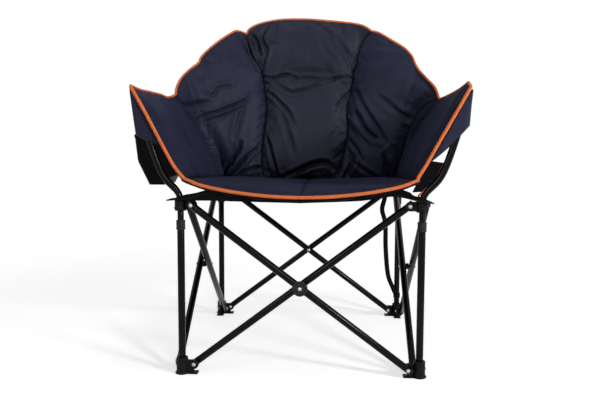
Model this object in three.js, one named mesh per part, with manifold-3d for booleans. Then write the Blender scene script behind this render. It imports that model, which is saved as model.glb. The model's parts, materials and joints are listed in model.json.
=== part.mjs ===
// A folding camping chair: a wide padded tub seat on a square frame of four legs and four X braces.
// Millimetres, +Z up, +Y to the rear. Left and right are as seen from in front, so +X is right.
// The legs telescope and the X braces stand up as the chair folds to a bundle.

import * as THREE from "three";
import { mergeVertices } from "three/addons/utils/BufferGeometryUtils.js";
import Module from "manifold-3d";

const wasm = await Module();
wasm.setup();

// Driving dimensions of the frame
const LEG_SPACING = 620;
const TUBE_OD = 19;
const TUBE_WALL = 1;
const FOOT_PIVOT_HEIGHT = 24;
const UPPER_PIVOT_HEIGHT = 445;
const PIVOT_INSET = 31;

// Driving dimensions of the padded tub
const SEAT_INSET = 12;
const SEAT_REAR_INSET = 45;
const FRONT_OVERHANG = 15;
const CORNER_LIFT = 49;
const SEAT_SAG = 39;
const ARM_FLARE = 132;
const ARM_RISE = 241;
const BACK_RISE = 285;
const BACK_LEAN = 120;
const BACK_BELLY = 14;

// Clearance between pieces that touch or slide, and the overrun of every cut
const CLEARANCE = 0.3;
const OVERRUN = 2;

// Facets
const ROUND_SIDES = 16;
const SMALL_SIDES = 8;
const BEND_STEPS = 14;

const QUARTER = Math.PI / 2;
const LEG = LEG_SPACING / 2;
const TUBE_R = TUBE_OD / 2;

// Materials
function finish(color, roughness, metalness) {
  return new THREE.MeshStandardMaterial({ color, roughness, metalness });
}

const COATED_STEEL = finish(0x151517, 0.3, 0.4);
const BLACK_PLASTIC = finish(0x1c1c1e, 0.55, 0);
const BRIGHT_STEEL = finish(0xc8c9cb, 0.25, 1);
const NAVY_FABRIC = finish(0x23263c, 0.85, 0);
const BLACK_FABRIC = finish(0x141416, 0.9, 0);

// Solids: a closed geometry becomes a solid that can be joined and cut, and comes back as a geometry
function solidOf(geometry) {
  const bare = geometry.index ? geometry.toNonIndexed() : geometry.clone();
  bare.deleteAttribute("normal");
  bare.deleteAttribute("uv");
  const merged = mergeVertices(bare);
  return new wasm.Manifold(
    new wasm.Mesh({
      numProp: 3,
      vertProperties: new Float32Array(merged.attributes.position.array),
      triVerts: new Uint32Array(merged.index.array),
    }),
  );
}

function geometryOf(solid) {
  const mesh = solid.getMesh();
  const geometry = new THREE.BufferGeometry();
  geometry.setAttribute("position", new THREE.BufferAttribute(mesh.vertProperties, 3));
  geometry.setIndex(new THREE.BufferAttribute(mesh.triVerts, 1));
  geometry.computeVertexNormals();
  return geometry;
}

function piece(name, geometry, material) {
  const mesh = new THREE.Mesh(geometry, material);
  mesh.name = name;
  return mesh;
}

// Shapes that several pieces share
function rodBetween(radius, from, to, sides = ROUND_SIDES) {
  const along = new THREE.Vector3().subVectors(to, from);
  const rod = new THREE.CylinderGeometry(radius, radius, along.length(), sides);
  const up = new THREE.Vector3(0, 1, 0);
  rod.applyQuaternion(new THREE.Quaternion().setFromUnitVectors(up, along.clone().normalize()));
  const middle = new THREE.Vector3().addVectors(from, to).multiplyScalar(1 / 2);
  rod.translate(middle.x, middle.y, middle.z);
  return rod;
}

function turned(profile, sides = ROUND_SIDES) {
  return new THREE.LatheGeometry(
    profile.map(([radius, height]) => new THREE.Vector2(radius, height)),
    sides,
  );
}

function pipe(outer, inner, from, to) {
  const ring = [
    [inner, from],
    [outer, from],
    [outer, to],
    [inner, to],
    [inner, from],
  ];
  return turned(ring).rotateX(QUARTER);
}

function uprightRod(radius, from, to, sides = ROUND_SIDES) {
  return rodBetween(radius, new THREE.Vector3(0, 0, from), new THREE.Vector3(0, 0, to), sides);
}

// An outline in X and Z, given a width along Y
function slab(points, fromY, toY) {
  const outline = new THREE.Shape(points.map(([x, z]) => new THREE.Vector2(x, z)));
  const geometry = new THREE.ExtrudeGeometry(outline, { depth: toY - fromY, bevelEnabled: false });
  return geometry.rotateX(QUARTER).translate(0, toY, 0);
}

// Corner fittings: the feet and the upper brackets are a socket with two ears at right angles.
// Each ear is a bearing plate for one brace tube, which lies against its inner or outer face on a rivet.
const FITTING = {
  socketRadius: 15,
  earThickness: 8,
  earRadius: 12,
  earRootMargin: 2,
  rivetRadius: 3,
  headRadius: 5,
  headHeight: 2.5,
};
const BRACE_OFFSET = FITTING.earThickness / 2 + CLEARANCE + TUBE_R;
const HEAD_SEAT = BRACE_OFFSET + TUBE_R + CLEARANCE;

// Plate from the leg axis out to the pivot, in the XZ plane
function earPlate(pivotHeight, low, high) {
  const outline = new THREE.Shape();
  outline.moveTo(0, low);
  outline.lineTo(PIVOT_INSET, pivotHeight - FITTING.earRadius);
  outline.absarc(PIVOT_INSET, pivotHeight, FITTING.earRadius, -QUARTER, QUARTER);
  outline.lineTo(0, high);
  const plate = new THREE.ExtrudeGeometry(outline, {
    depth: FITTING.earThickness,
    bevelEnabled: false,
    curveSegments: SMALL_SIDES / 2,
  });
  return plate.rotateX(QUARTER).translate(0, FITTING.earThickness / 2, 0);
}

// Rivet through the ear and the brace tube beside it: shank and two domed heads, along Y
function pivotRivet(from, to) {
  const dome = FITTING.headHeight;
  return turned(
    [
      [0, from - dome],
      [FITTING.rivetRadius, from - dome],
      [FITTING.headRadius, from - dome / 2],
      [FITTING.headRadius, from],
      [FITTING.rivetRadius, from],
      [FITTING.rivetRadius, to],
      [FITTING.headRadius, to],
      [FITTING.headRadius, to + dome / 2],
      [FITTING.rivetRadius, to + dome],
      [0, to + dome],
    ],
    SMALL_SIDES,
  );
}

// The rivet of an ear whose tube lies on the given side, +1 inside or -1 outside
function earRivet(pivotHeight, side) {
  const reach = side * HEAD_SEAT;
  const near = (-side * FITTING.earThickness) / 2;
  const rivet = pivotRivet(Math.min(reach, near), Math.max(reach, near));
  return rivet.translate(PIVOT_INSET, 0, pivotHeight);
}

// An ear along +X turned to lie along +Y, which mirrors its inner and outer sides
function alongY(geometry) {
  return geometry.rotateZ(QUARTER);
}

function fitting(pivotHeight, low, high, sideX, sideY) {
  const earLow = low + FITTING.earRootMargin;
  const earHigh = high - FITTING.earRootMargin;
  const parts = [
    earPlate(pivotHeight, earLow, earHigh),
    alongY(earPlate(pivotHeight, earLow, earHigh)),
    earRivet(pivotHeight, sideX),
    alongY(earRivet(pivotHeight, sideY)),
  ];
  const socket = solidOf(uprightRod(FITTING.socketRadius, low, high));
  return parts.reduce((whole, part) => whole.add(solidOf(part)), socket);
}

// Feet: a blind socket for the lower leg, closed at the floor, with a chamfered toe
const FOOT = { height: 44, floor: 8, toe: 2 };
const LEG_BOTTOM = FOOT.floor + CLEARANCE;

function foot() {
  const toe = turned([
    [FITTING.socketRadius - FOOT.toe - OVERRUN, -OVERRUN],
    [FITTING.socketRadius + OVERRUN, -OVERRUN],
    [FITTING.socketRadius + OVERRUN, FOOT.toe + OVERRUN],
    [FITTING.socketRadius - FOOT.toe - OVERRUN, -OVERRUN],
  ]).rotateX(QUARTER);
  const body = fitting(FOOT_PIVOT_HEIGHT, 0, FOOT.height, 1, 1);
  const bore = uprightRod(TUBE_R + CLEARANCE, FOOT.floor, FOOT.height + OVERRUN);
  return geometryOf(body.subtract(solidOf(bore)).subtract(solidOf(toe)));
}

// Upper brackets: the inner tube enters from below and the arm or back post from above
const BRACKET = { height: 30, web: 2 };
const BRACKET_BOTTOM = UPPER_PIVOT_HEIGHT - BRACKET.height / 2;
const BRACKET_TOP = UPPER_PIVOT_HEIGHT + BRACKET.height / 2;
const POST_BOTTOM = UPPER_PIVOT_HEIGHT + BRACKET.web / 2;

// Inner telescoping tubes, with the sleeves that guide them on top of the lower legs
const INNER = { od: TUBE_OD - 2 * TUBE_WALL - 2 * CLEARANCE, aboveFoot: 1 };
const SLEEVE = { height: 24, wall: 2.2, lip: 3, frontDrop: 25, rearDrop: 9 };
const INNER_TOP = UPPER_PIVOT_HEIGHT - BRACKET.web / 2 - CLEARANCE;

function bracket() {
  const body = fitting(UPPER_PIVOT_HEIGHT, BRACKET_BOTTOM, BRACKET_TOP, -1, -1);
  const upper = uprightRod(TUBE_R + CLEARANCE, POST_BOTTOM, BRACKET_TOP + OVERRUN);
  const lower = uprightRod(
    INNER.od / 2 + CLEARANCE,
    BRACKET_BOTTOM - OVERRUN,
    UPPER_PIVOT_HEIGHT - BRACKET.web / 2,
  );
  return geometryOf(body.subtract(solidOf(upper)).subtract(solidOf(lower)));
}

function sleeveTop(isFront) {
  return BRACKET_BOTTOM - (isFront ? SLEEVE.frontDrop : SLEEVE.rearDrop);
}

function sleeve(isFront) {
  const top = sleeveTop(isFront);
  const bottom = top - SLEEVE.height;
  const shoulder = top - SLEEVE.lip;
  const bore = TUBE_R + CLEARANCE;
  const guide = INNER.od / 2 + CLEARANCE;
  return turned([
    [bore, bottom],
    [bore + SLEEVE.wall, bottom],
    [bore + SLEEVE.wall, top],
    [guide, top],
    [guide, shoulder],
    [bore, shoulder],
    [bore, bottom],
  ]).rotateX(QUARTER);
}

function lowerLeg(isFront) {
  return pipe(TUBE_R, TUBE_R - TUBE_WALL, LEG_BOTTOM, sleeveTop(isFront) - SLEEVE.lip - CLEARANCE);
}

function innerTube() {
  return pipe(INNER.od / 2, INNER.od / 2 - TUBE_WALL, FOOT.height + INNER.aboveFoot, INNER_TOP);
}

// Brace tubes: pivot to pivot, with a short end past each rivet and three drilled holes
const BRACE = { end: 10 };
const BRACE_RUN = LEG_SPACING - 2 * PIVOT_INSET;
const BRACE_LIFT = UPPER_PIVOT_HEIGHT - FOOT_PIVOT_HEIGHT;
const BRACE_SPAN = Math.hypot(BRACE_RUN, BRACE_LIFT);
const BRACE_ANGLE = Math.atan2(BRACE_LIFT, BRACE_RUN);
const RIVET_HOLE = FITTING.rivetRadius + CLEARANCE;

function braceTube() {
  const tube = pipe(TUBE_R, TUBE_R - TUBE_WALL, -BRACE.end, BRACE_SPAN + BRACE.end).rotateY(QUARTER);
  const holes = [0, BRACE_SPAN / 2, BRACE_SPAN].map((x) => {
    const from = new THREE.Vector3(x, -TUBE_R - OVERRUN, 0);
    const to = new THREE.Vector3(x, TUBE_R + OVERRUN, 0);
    return solidOf(rodBetween(RIVET_HOLE, from, to, SMALL_SIDES));
  });
  return geometryOf(holes.reduce((body, hole) => body.subtract(hole), solidOf(tube)));
}

// Centre of each X: a spacer between the tubes and one rivet, with a ribbed disc on the front one
const HUB = { spacerRadius: 9, discRadius: 20, discThickness: 6, ribDepth: 1, ribs: 24 };

function spacer() {
  const half = BRACE_OFFSET - TUBE_R - CLEARANCE;
  return turned([
    [RIVET_HOLE, -half],
    [HUB.spacerRadius, -half],
    [HUB.spacerRadius, half],
    [RIVET_HOLE, half],
    [RIVET_HOLE, -half],
  ]);
}

function hubDisc() {
  const outline = new THREE.Shape();
  for (let i = 0; i < 2 * HUB.ribs; i++) {
    const angle = (i * Math.PI) / HUB.ribs;
    const radius = HUB.discRadius - (i % 2) * HUB.ribDepth;
    outline[i ? "lineTo" : "moveTo"](radius * Math.cos(angle), radius * Math.sin(angle));
  }
  const hole = new THREE.Path().absarc(0, 0, RIVET_HOLE, 0, 2 * Math.PI, true);
  outline.holes.push(hole);
  const disc = new THREE.ExtrudeGeometry(outline, {
    depth: HUB.discThickness,
    bevelEnabled: false,
    curveSegments: SMALL_SIDES / 2,
  });
  return disc.rotateX(QUARTER).translate(0, -HEAD_SEAT, 0);
}

function hubRivet(isFront) {
  const disc = isFront ? HUB.discThickness + CLEARANCE : 0;
  return pivotRivet(-HEAD_SEAT - disc, HEAD_SEAT);
}

// Front arm posts: out of the bracket, a sharp set outwards, then up to the arm's tip.
// The shares run outwards and upwards from the neck to the top of the post.
const ARM_POST = { neck: 12, rise: 252, flare: 104 };
const ARM_POST_SHARES = [
  [0.14, 0.07],
  [0.37, 0.17],
  [0.52, 0.3],
  [0.69, 0.52],
  [1, 1],
];

function armPostPath(side) {
  const neck = BRACKET_TOP + ARM_POST.neck;
  const rise = ARM_POST.rise - BRACKET.height / 2 - ARM_POST.neck;
  const points = [
    [0, POST_BOTTOM + CLEARANCE],
    [0, BRACKET_TOP],
    [0, BRACKET_TOP + ARM_POST.neck / 2],
    [0, neck],
    ...ARM_POST_SHARES.map(([out, up]) => [out * ARM_POST.flare, neck + up * rise]),
  ];
  return new THREE.CatmullRomCurve3(
    points.map(([out, z]) => new THREE.Vector3(side * (LEG + out), -LEG, z)),
    false,
    "centripetal",
  );
}

function sweptTube(path, outer, inner) {
  const section = new THREE.Shape().absarc(0, 0, outer, 0, 2 * Math.PI);
  if (inner) {
    section.holes.push(new THREE.Path().absarc(0, 0, inner, 0, 2 * Math.PI, true));
  }
  return new THREE.ExtrudeGeometry(section, {
    steps: BEND_STEPS,
    extrudePath: path,
    bevelEnabled: false,
    curveSegments: ROUND_SIDES / 2,
  });
}

// The tub's wall is one surface round the seat, from the left front edge to the right front edge.
// u runs round it and v runs up it, from the seat's edge to the rim, and its panels are cut from it.
const BASE_HALF = LEG - SEAT_INSET;
const BASE_FRONT = -LEG - FRONT_OVERHANG;
const BASE_DEPTH = LEG - SEAT_REAR_INSET - BASE_FRONT;
const CORNER_Z = BRACKET_TOP + CORNER_LIFT;
const SEAT_Z = CORNER_Z - SEAT_SAG;
const RIM_HALF = BASE_HALF + ARM_FLARE;
const RIM_DEPTH = BASE_DEPTH + BACK_LEAN;
const ARM_Z = CORNER_Z + ARM_RISE;

// Share of the back's rise above the arms that the back posts reach, inside the wings
const BACK_POST_SHARE = 0.54;
const BACK_POST_TOP = ARM_Z + BACK_POST_SHARE * BACK_RISE;

// Shares of half width, depth and rise, from the front edge round to the middle of the back
const BASE_SHARES = [
  [1, 0, 1],
  [1, 0.48, 0.72],
  [0.985, 0.985, 0.4],
  [0.84, 0.995, 0.33],
  [0.63, 1, 0.3],
  [0.4, 1, 0.27],
  [0.2, 1, 0.26],
  [0, 1, 0.25],
];
const RIM_SHARES = [
  [0.99, 0, 0],
  [1.015, 0.35, 0],
  [0.98, 0.641, 0.02],
  [0.885, 0.8, 0.36],
  [0.72, 0.875, 0.67],
  [0.5, 0.94, 0.835],
  [0.3, 0.985, 0.975],
  [0, 1, 1],
];
// Shares of the way round at which an arm meets its wing, and the wing meets the back
const CREASE_SHARE = 1 / 7;
const SEAM_SHARE = 5 / 14;

function roundTheTub(shares, half, depth, low, rise) {
  const left = shares.map(
    ([across, back, up]) =>
      new THREE.Vector3(-across * half, BASE_FRONT + back * depth, low + up * rise),
  );
  const right = left.slice(0, -1).map((p) => new THREE.Vector3(-p.x, p.y, p.z));
  return new THREE.CatmullRomCurve3([...left, ...right.reverse()], false, "catmullrom", 1 / 2);
}

const BASE_CURVE = roundTheTub(BASE_SHARES, BASE_HALF, BASE_DEPTH, SEAT_Z, SEAT_SAG);
const RIM_CURVE = roundTheTub(RIM_SHARES, RIM_HALF, RIM_DEPTH, ARM_Z, BACK_RISE);

function wallPoint(u, v) {
  const base = BASE_CURVE.getPoint(u);
  const rim = RIM_CURVE.getPoint(u);
  const belly = BACK_BELLY * Math.sin(Math.PI * u) ** 2 * Math.sin(Math.PI * v);
  return base.lerp(rim, v).add(new THREE.Vector3(0, belly, 0));
}

// Outward normal of the wall, from two short chords of shares this long
const CHORD_SHARE = 0.002;

function wallNormal(u, v) {
  const [uLow, uHigh] = [Math.max(u - CHORD_SHARE, 0), Math.min(u + CHORD_SHARE, 1)];
  const [vLow, vHigh] = [Math.max(v - CHORD_SHARE, 0), Math.min(v + CHORD_SHARE, 1)];
  const round = wallPoint(uHigh, v).sub(wallPoint(uLow, v));
  const up = wallPoint(u, vHigh).sub(wallPoint(u, vLow));
  return up.cross(round).normalize();
}

// Padding: thin where it is sewn and crowned between the seams, more on the sitter's side
const PAD = { sewn: 8, crownIn: 16, crownOut: 5, seamGap: 0.7 };
const CROWN_POWER = 2.6;

function crown(share) {
  return Math.sqrt(1 - Math.abs(2 * share - 1) ** CROWN_POWER);
}

// A closed solid between two grids of points, given as functions of two shares
function padSolid(inner, outer, columns, rows) {
  const positions = [];
  const index = [];
  const width = columns + 1;
  const layer = width * (rows + 1);
  for (const face of [inner, outer]) {
    for (let j = 0; j <= rows; j++) {
      for (let i = 0; i <= columns; i++) {
        positions.push(...face(i / columns, j / rows).toArray());
      }
    }
  }
  const quad = (a, b, c, d) => index.push(a, b, c, a, c, d);
  for (let j = 0; j < rows; j++) {
    for (let i = 0; i < columns; i++) {
      const a = j * width + i;
      quad(a, a + 1, a + 1 + width, a + width);
      quad(layer + a, layer + a + width, layer + a + 1 + width, layer + a + 1);
    }
  }
  const edge = (a, b) => quad(b, a, a + layer, b + layer);
  for (let i = 0; i < columns; i++) {
    edge(i, i + 1);
    edge(rows * width + i + 1, rows * width + i);
  }
  for (let j = 0; j < rows; j++) {
    edge((j + 1) * width, j * width);
    edge(j * width + columns, (j + 1) * width + columns);
  }
  const geometry = new THREE.BufferGeometry();
  geometry.setAttribute("position", new THREE.Float32BufferAttribute(positions, 3));
  geometry.setIndex(index);
  geometry.computeVertexNormals();
  return geometry;
}

// One panel of the wall between two stations. Growth thickens it, for the cut that a neighbour takes.
function wallPanel({ from, to, columns, rows, channel, growth = 0 }) {
  const trim = PAD.seamGap / 2;
  const stepAt = (u) => {
    const low = Math.max(u - CHORD_SHARE, 0);
    const high = Math.min(u + CHORD_SHARE, 1);
    return trim / (wallPoint(high, 1 / 2).distanceTo(wallPoint(low, 1 / 2)) / (high - low));
  };
  const uFrom = from + (from > 0 ? stepAt(from) : 0);
  const uTo = to - (to < 1 ? stepAt(to) : 0);
  const face = (side, depth) => (a, b) => {
    const u = uFrom + a * (uTo - uFrom);
    const fold = channel ? channel(b) : 1;
    const offset = PAD.sewn / 2 + depth * crown(a) * crown(b) * fold + growth;
    return wallPoint(u, b).add(wallNormal(u, b).multiplyScalar(side * offset));
  };
  return padSolid(face(-1, PAD.crownIn), face(1, PAD.crownOut), columns, rows);
}

// Where the headrest roll meets the backrest, the padding draws in along a channel
const HEADREST = { channelShare: 0.63, widthShare: 0.045, drawnShare: 0.65 };

function headrestChannel(b) {
  const off = (b - HEADREST.channelShare) / HEADREST.widthShare;
  return 1 - HEADREST.drawnShare * Math.exp(-off * off);
}

const ARM_GRID = { columns: 10, rows: 8 };
const WING_GRID = { columns: 8, rows: 12 };
const BACK_GRID = { columns: 10, rows: 20 };

function armPanel(side, growth = 0) {
  const [from, to] = side < 0 ? [0, CREASE_SHARE] : [1 - CREASE_SHARE, 1];
  return wallPanel({ ...ARM_GRID, from, to, growth });
}

function wingPanel(side) {
  const width = SEAM_SHARE - CREASE_SHARE;
  const from = side < 0 ? CREASE_SHARE : 1 - SEAM_SHARE;
  return wallPanel({ ...WING_GRID, from, to: from + width });
}

function backPanel() {
  const [from, to] = [SEAM_SHARE, 1 - SEAM_SHARE];
  return wallPanel({ ...BACK_GRID, from, to, channel: headrestChannel });
}

// Seat: two crowned halves that meet on the middle line, each on a black sling of the same outline
const SEAT = { edgeGap: 6, middleGap: 1, rearRound: 8, crownUp: 7, crownDown: 7, sling: 2.5 };
const SEAT_GRID = { columns: 8, rows: 10 };
const SEAT_FRONT_LIP = 10;
const SEAT_REAR_SHARES = { middle: 0.25, side: 0.15 };

function seatHeight(across, back) {
  const bow = across * across;
  const rear = SEAT_REAR_SHARES.middle + SEAT_REAR_SHARES.side * bow;
  return SEAT_Z + SEAT_SAG * ((1 - back) * bow + back * rear);
}

function seatHalf(side, lift, crownDepth) {
  const half = BASE_HALF - SEAT.edgeGap;
  const front = BASE_FRONT - SEAT_FRONT_LIP;
  const rear = BASE_FRONT + BASE_DEPTH - SEAT.edgeGap;
  return (a, b) => {
    const across = side > 0 ? a : 1 - a;
    const x = SEAT.middleGap / 2 + across * (half - SEAT.middleGap / 2);
    const rearHere = rear - SEAT.rearRound * (x / BASE_HALF) ** 2;
    const y = front + b * (rearHere - front);
    const z = seatHeight(x / BASE_HALF, b) + lift + crownDepth * crown(a) * crown(b);
    return new THREE.Vector3(side * x, y, z);
  };
}

function seatPad(side) {
  const top = seatHalf(side, 0, SEAT.crownUp);
  const bottom = seatHalf(side, -PAD.sewn, -SEAT.crownDown);
  return padSolid(top, bottom, SEAT_GRID.columns, SEAT_GRID.rows);
}

function seatSling(side) {
  const lift = -PAD.sewn - CLEARANCE;
  const top = seatHalf(side, lift, -SEAT.crownDown);
  const bottom = seatHalf(side, lift - SEAT.sling, -SEAT.crownDown);
  return padSolid(top, bottom, SEAT_GRID.columns, SEAT_GRID.rows);
}

// Height of the sling's underside over a point, for the tabs that it rests on
function slingUnderside(x, y) {
  const half = BASE_HALF - SEAT.edgeGap;
  const front = BASE_FRONT - SEAT_FRONT_LIP;
  const rear = BASE_FRONT + BASE_DEPTH - SEAT.edgeGap - SEAT.rearRound * (x / BASE_HALF) ** 2;
  const lift = -PAD.sewn - CLEARANCE - SEAT.sling;
  const across = (x - SEAT.middleGap / 2) / (half - SEAT.middleGap / 2);
  return seatHalf(1, lift, -SEAT.crownDown)(across, (y - front) / (rear - front)).z;
}

// Corner tabs: webbing over the top of each bracket, ramping up to the sling beside it.
// The front ones run straight across and the rear ones run in along the diagonal.
const TAB = { outer: 35, flat: 18, inner: 75, halfWidth: 25, thickness: 3, slingGap: 0.4 };

function cornerTab(isFront) {
  const reach = TAB.inner * Math.SQRT1_2;
  const half = TAB.halfWidth * Math.SQRT1_2;
  const low = BRACKET_TOP + CLEARANCE;
  const under = isFront
    ? slingUnderside(LEG - TAB.inner, -LEG + TAB.halfWidth)
    : slingUnderside(LEG - reach + half, LEG - reach - half);
  const high = under - TAB.slingGap;
  const profile = [
    [-TAB.outer, low],
    [TAB.flat, low],
    [TAB.inner, high - TAB.thickness],
    [TAB.inner, high],
    [TAB.flat, low + TAB.thickness],
    [-TAB.outer, low + TAB.thickness],
  ];
  const hole = uprightRod(TUBE_R + CLEARANCE, low - OVERRUN, low + TAB.thickness + OVERRUN);
  const body = solidOf(slab(profile, -TAB.halfWidth, TAB.halfWidth));
  return geometryOf(body.subtract(solidOf(hole)));
}

// Outer arm flaps: a fabric pocket that takes the top of the arm post, sewn to the arm's outer side
const FLAP = { depth: 26, cover: 17, topCover: 8, wide: 26 };
const FLAP_SHARES = [0.32, 0.66, 0.97];
const FLAP_LOW_SHARE = 0.92;

// The outline is given for the right side, and the left side mirrors it
function sideSlab(outline, side, depth) {
  const points = outline.map(([x, z]) => [side * x, z]);
  return solidOf(slab(points, -LEG - depth / 2, -LEG + depth / 2));
}

function armFlap(side, cuts) {
  const path = armPostPath(side);
  const inner = FLAP_SHARES.map((v) => {
    const p = wallPoint(0, v);
    return [Math.abs(p.x) + PAD.sewn / 2, p.z];
  });
  const top = inner[inner.length - 1];
  const tip = path.getPoint(1);
  const low = path.getPoint(FLAP_LOW_SHARE);
  const outline = [
    ...inner,
    [top[0] + FLAP.topCover, top[1]],
    [Math.abs(tip.x) + FLAP.cover, tip.z],
    [Math.abs(low.x) + FLAP.wide, low.z],
  ];
  const block = sideSlab(outline, side, FLAP.depth);
  return geometryOf(cuts.reduce((body, cut) => body.subtract(cut), block));
}

// Side gussets: thin black cloth between the tub's front edge and the foot of the arm post
const GUSSET = { thickness: 3, drop: 24, reach: 30 };
const GUSSET_SHARES = [0.02, 0.24];

function gusset(side, cuts) {
  const [low, high] = GUSSET_SHARES.map((v) => wallPoint(0, v));
  const inner = PAD.sewn / 2;
  const outline = [
    [Math.abs(low.x) + inner, low.z - GUSSET.drop],
    [Math.abs(low.x) + inner + GUSSET.reach, low.z],
    [Math.abs(high.x) + inner + GUSSET.reach / 2, high.z],
    [Math.abs(high.x) + inner, high.z],
    [Math.abs(low.x) + inner, low.z],
  ];
  const cloth = sideSlab(outline, side, GUSSET.thickness);
  return geometryOf(cuts.reduce((body, cut) => body.subtract(cut), cloth));
}

// Cup pocket: a black pouch open at the top, sewn to the outside of the left arm
const POCKET = {
  behindPost: 18,
  length: 120,
  across: 72,
  waist: 59,
  drop: 136,
  underArm: 14,
  baseIn: 56,
  baseOut: 100,
  wall: 4,
  backWall: 10,
};
const POCKET_TOP_SHARE = 0.48;
const POCKET_LOW_SHARE = 0.15;

function cupPocket(besideArm) {
  const front = -LEG + POCKET.behindPost;
  const [top, low] = [POCKET_TOP_SHARE, POCKET_LOW_SHARE].map((v) => wallPoint(0, v));
  const inner = Math.abs(top.x) + PAD.sewn / 2;
  const floor = CORNER_Z - POCKET.underArm;
  const half = top.z - POCKET.drop / 2;
  const waist = Math.abs(wallPoint(0, (half - CORNER_Z) / ARM_RISE).x) + PAD.sewn / 2;
  const outline = [
    [inner, top.z],
    [Math.abs(low.x) + PAD.sewn / 2, low.z],
    [BASE_HALF + POCKET.baseIn, floor],
    [BASE_HALF + POCKET.baseOut, floor],
    [inner + POCKET.waist, half],
    [inner + POCKET.across, top.z],
  ];
  const cavity = [
    [inner + POCKET.backWall, top.z + OVERRUN],
    [waist + POCKET.backWall, half],
    [BASE_HALF + POCKET.baseIn + POCKET.backWall, floor + POCKET.wall],
    [BASE_HALF + POCKET.baseOut - POCKET.wall, floor + POCKET.wall],
    [inner + POCKET.waist - POCKET.wall, half],
    [inner + POCKET.across - POCKET.wall, top.z + OVERRUN],
  ];
  const mirrored = (points) => points.map(([x, z]) => [-x, z]);
  const pouch = solidOf(slab(mirrored(outline), front, front + POCKET.length));
  const inside = slab(
    mirrored(cavity),
    front + POCKET.wall,
    front + POCKET.length - POCKET.wall,
  );
  return geometryOf(pouch.subtract(solidOf(inside)).subtract(besideArm));
}

// Carry strap: webbing from under the rear right corner down to a loop that rides on the leg
const STRAP = { width: 17, thickness: 2, aheadOfLeg: 12, bow: 56, aboveFoot: 30, steps: 14 };
const STRAP_LOOP = FOOT.height + STRAP.aboveFoot;
const STRAP_TOP = BRACKET_TOP + STRAP.thickness;

// Shares of the bow in from the leg, and of the way up from the loop, along the hanging stretch
const STRAP_SHARES = [
  [0.79, 1],
  [0.86, 0.88],
  [1, 0.78],
  [0.79, 0.65],
  [0.75, 0.44],
  [0.59, 0.2],
  [0.29, 0.08],
  [0.04, 0],
];

function carryStrap() {
  const route = new THREE.CatmullRomCurve3(
    STRAP_SHARES.map(
      ([inwards, up]) =>
        new THREE.Vector3(
          LEG - inwards * STRAP.bow,
          LEG - STRAP.aheadOfLeg,
          STRAP_LOOP + up * (STRAP_TOP - STRAP_LOOP),
        ),
    ),
  );
  const [deep, wide] = [STRAP.thickness / 2, STRAP.width / 2];
  const section = new THREE.Shape([
    new THREE.Vector2(-deep, -wide),
    new THREE.Vector2(deep, -wide),
    new THREE.Vector2(deep, wide),
    new THREE.Vector2(-deep, wide),
  ]);
  const ribbon = new THREE.ExtrudeGeometry(section, {
    steps: STRAP.steps,
    extrudePath: route,
    bevelEnabled: false,
  });
  const bore = TUBE_R + CLEARANCE;
  const loop = pipe(bore + STRAP.thickness, bore, STRAP_LOOP - wide, STRAP_LOOP + wide);
  return geometryOf(solidOf(ribbon).add(solidOf(loop.translate(LEG, LEG, 0))));
}

// The chair stands with the middle of its depth, from the hub disc's rivet to the headrest, over the origin
const CHAIR_FRONT = LEG + HEAD_SEAT + HUB.discThickness + CLEARANCE + FITTING.headHeight;
const CHAIR_REAR = BASE_FRONT + RIM_DEPTH + PAD.sewn / 2;
const chair = new THREE.Group();
chair.position.y = (CHAIR_FRONT - CHAIR_REAR) / 2;

// The frame repeats itself at each quarter turn about the chair's middle
const CORNERS = ["front_left", "front_right", "rear_right", "rear_left"];
const SIDES = ["front", "right", "rear", "left"];

CORNERS.forEach((corner, turn) => {
  const isFront = corner.startsWith("front");
  const quarter = new THREE.Group();
  quarter.rotation.z = turn * QUARTER;
  const leg = new THREE.Group();
  leg.position.set(-LEG, -LEG, 0);
  leg.add(
    piece(`foot_${corner}`, foot(), BLACK_PLASTIC),
    piece(`lower_leg_${corner}`, lowerLeg(isFront), COATED_STEEL),
    piece(`sleeve_${corner}`, sleeve(isFront), BLACK_PLASTIC),
    piece(`inner_tube_${corner}`, innerTube(), COATED_STEEL),
    piece(`bracket_${corner}`, bracket(), BLACK_PLASTIC),
  );

  const side = SIDES[turn];
  const rising = piece(`brace_rising_${side}`, braceTube(), COATED_STEEL);
  rising.position.set(-BRACE_RUN / 2, -LEG + BRACE_OFFSET, FOOT_PIVOT_HEIGHT);
  rising.rotation.y = -BRACE_ANGLE;
  const falling = piece(`brace_falling_${side}`, braceTube(), COATED_STEEL);
  falling.position.set(BRACE_RUN / 2, -LEG - BRACE_OFFSET, FOOT_PIVOT_HEIGHT);
  falling.rotation.y = BRACE_ANGLE - Math.PI;

  const hub = new THREE.Group();
  hub.position.set(0, -LEG, (FOOT_PIVOT_HEIGHT + UPPER_PIVOT_HEIGHT) / 2);
  hub.add(
    piece(`hub_spacer_${side}`, spacer(), BLACK_PLASTIC),
    piece(`hub_rivet_${side}`, hubRivet(turn === 0), BRIGHT_STEEL),
  );
  if (turn === 0) {
    hub.add(piece("hub_disc", hubDisc(), BLACK_PLASTIC));
  }
  quarter.add(leg, rising, falling, hub);
  chair.add(quarter);
});

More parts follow.
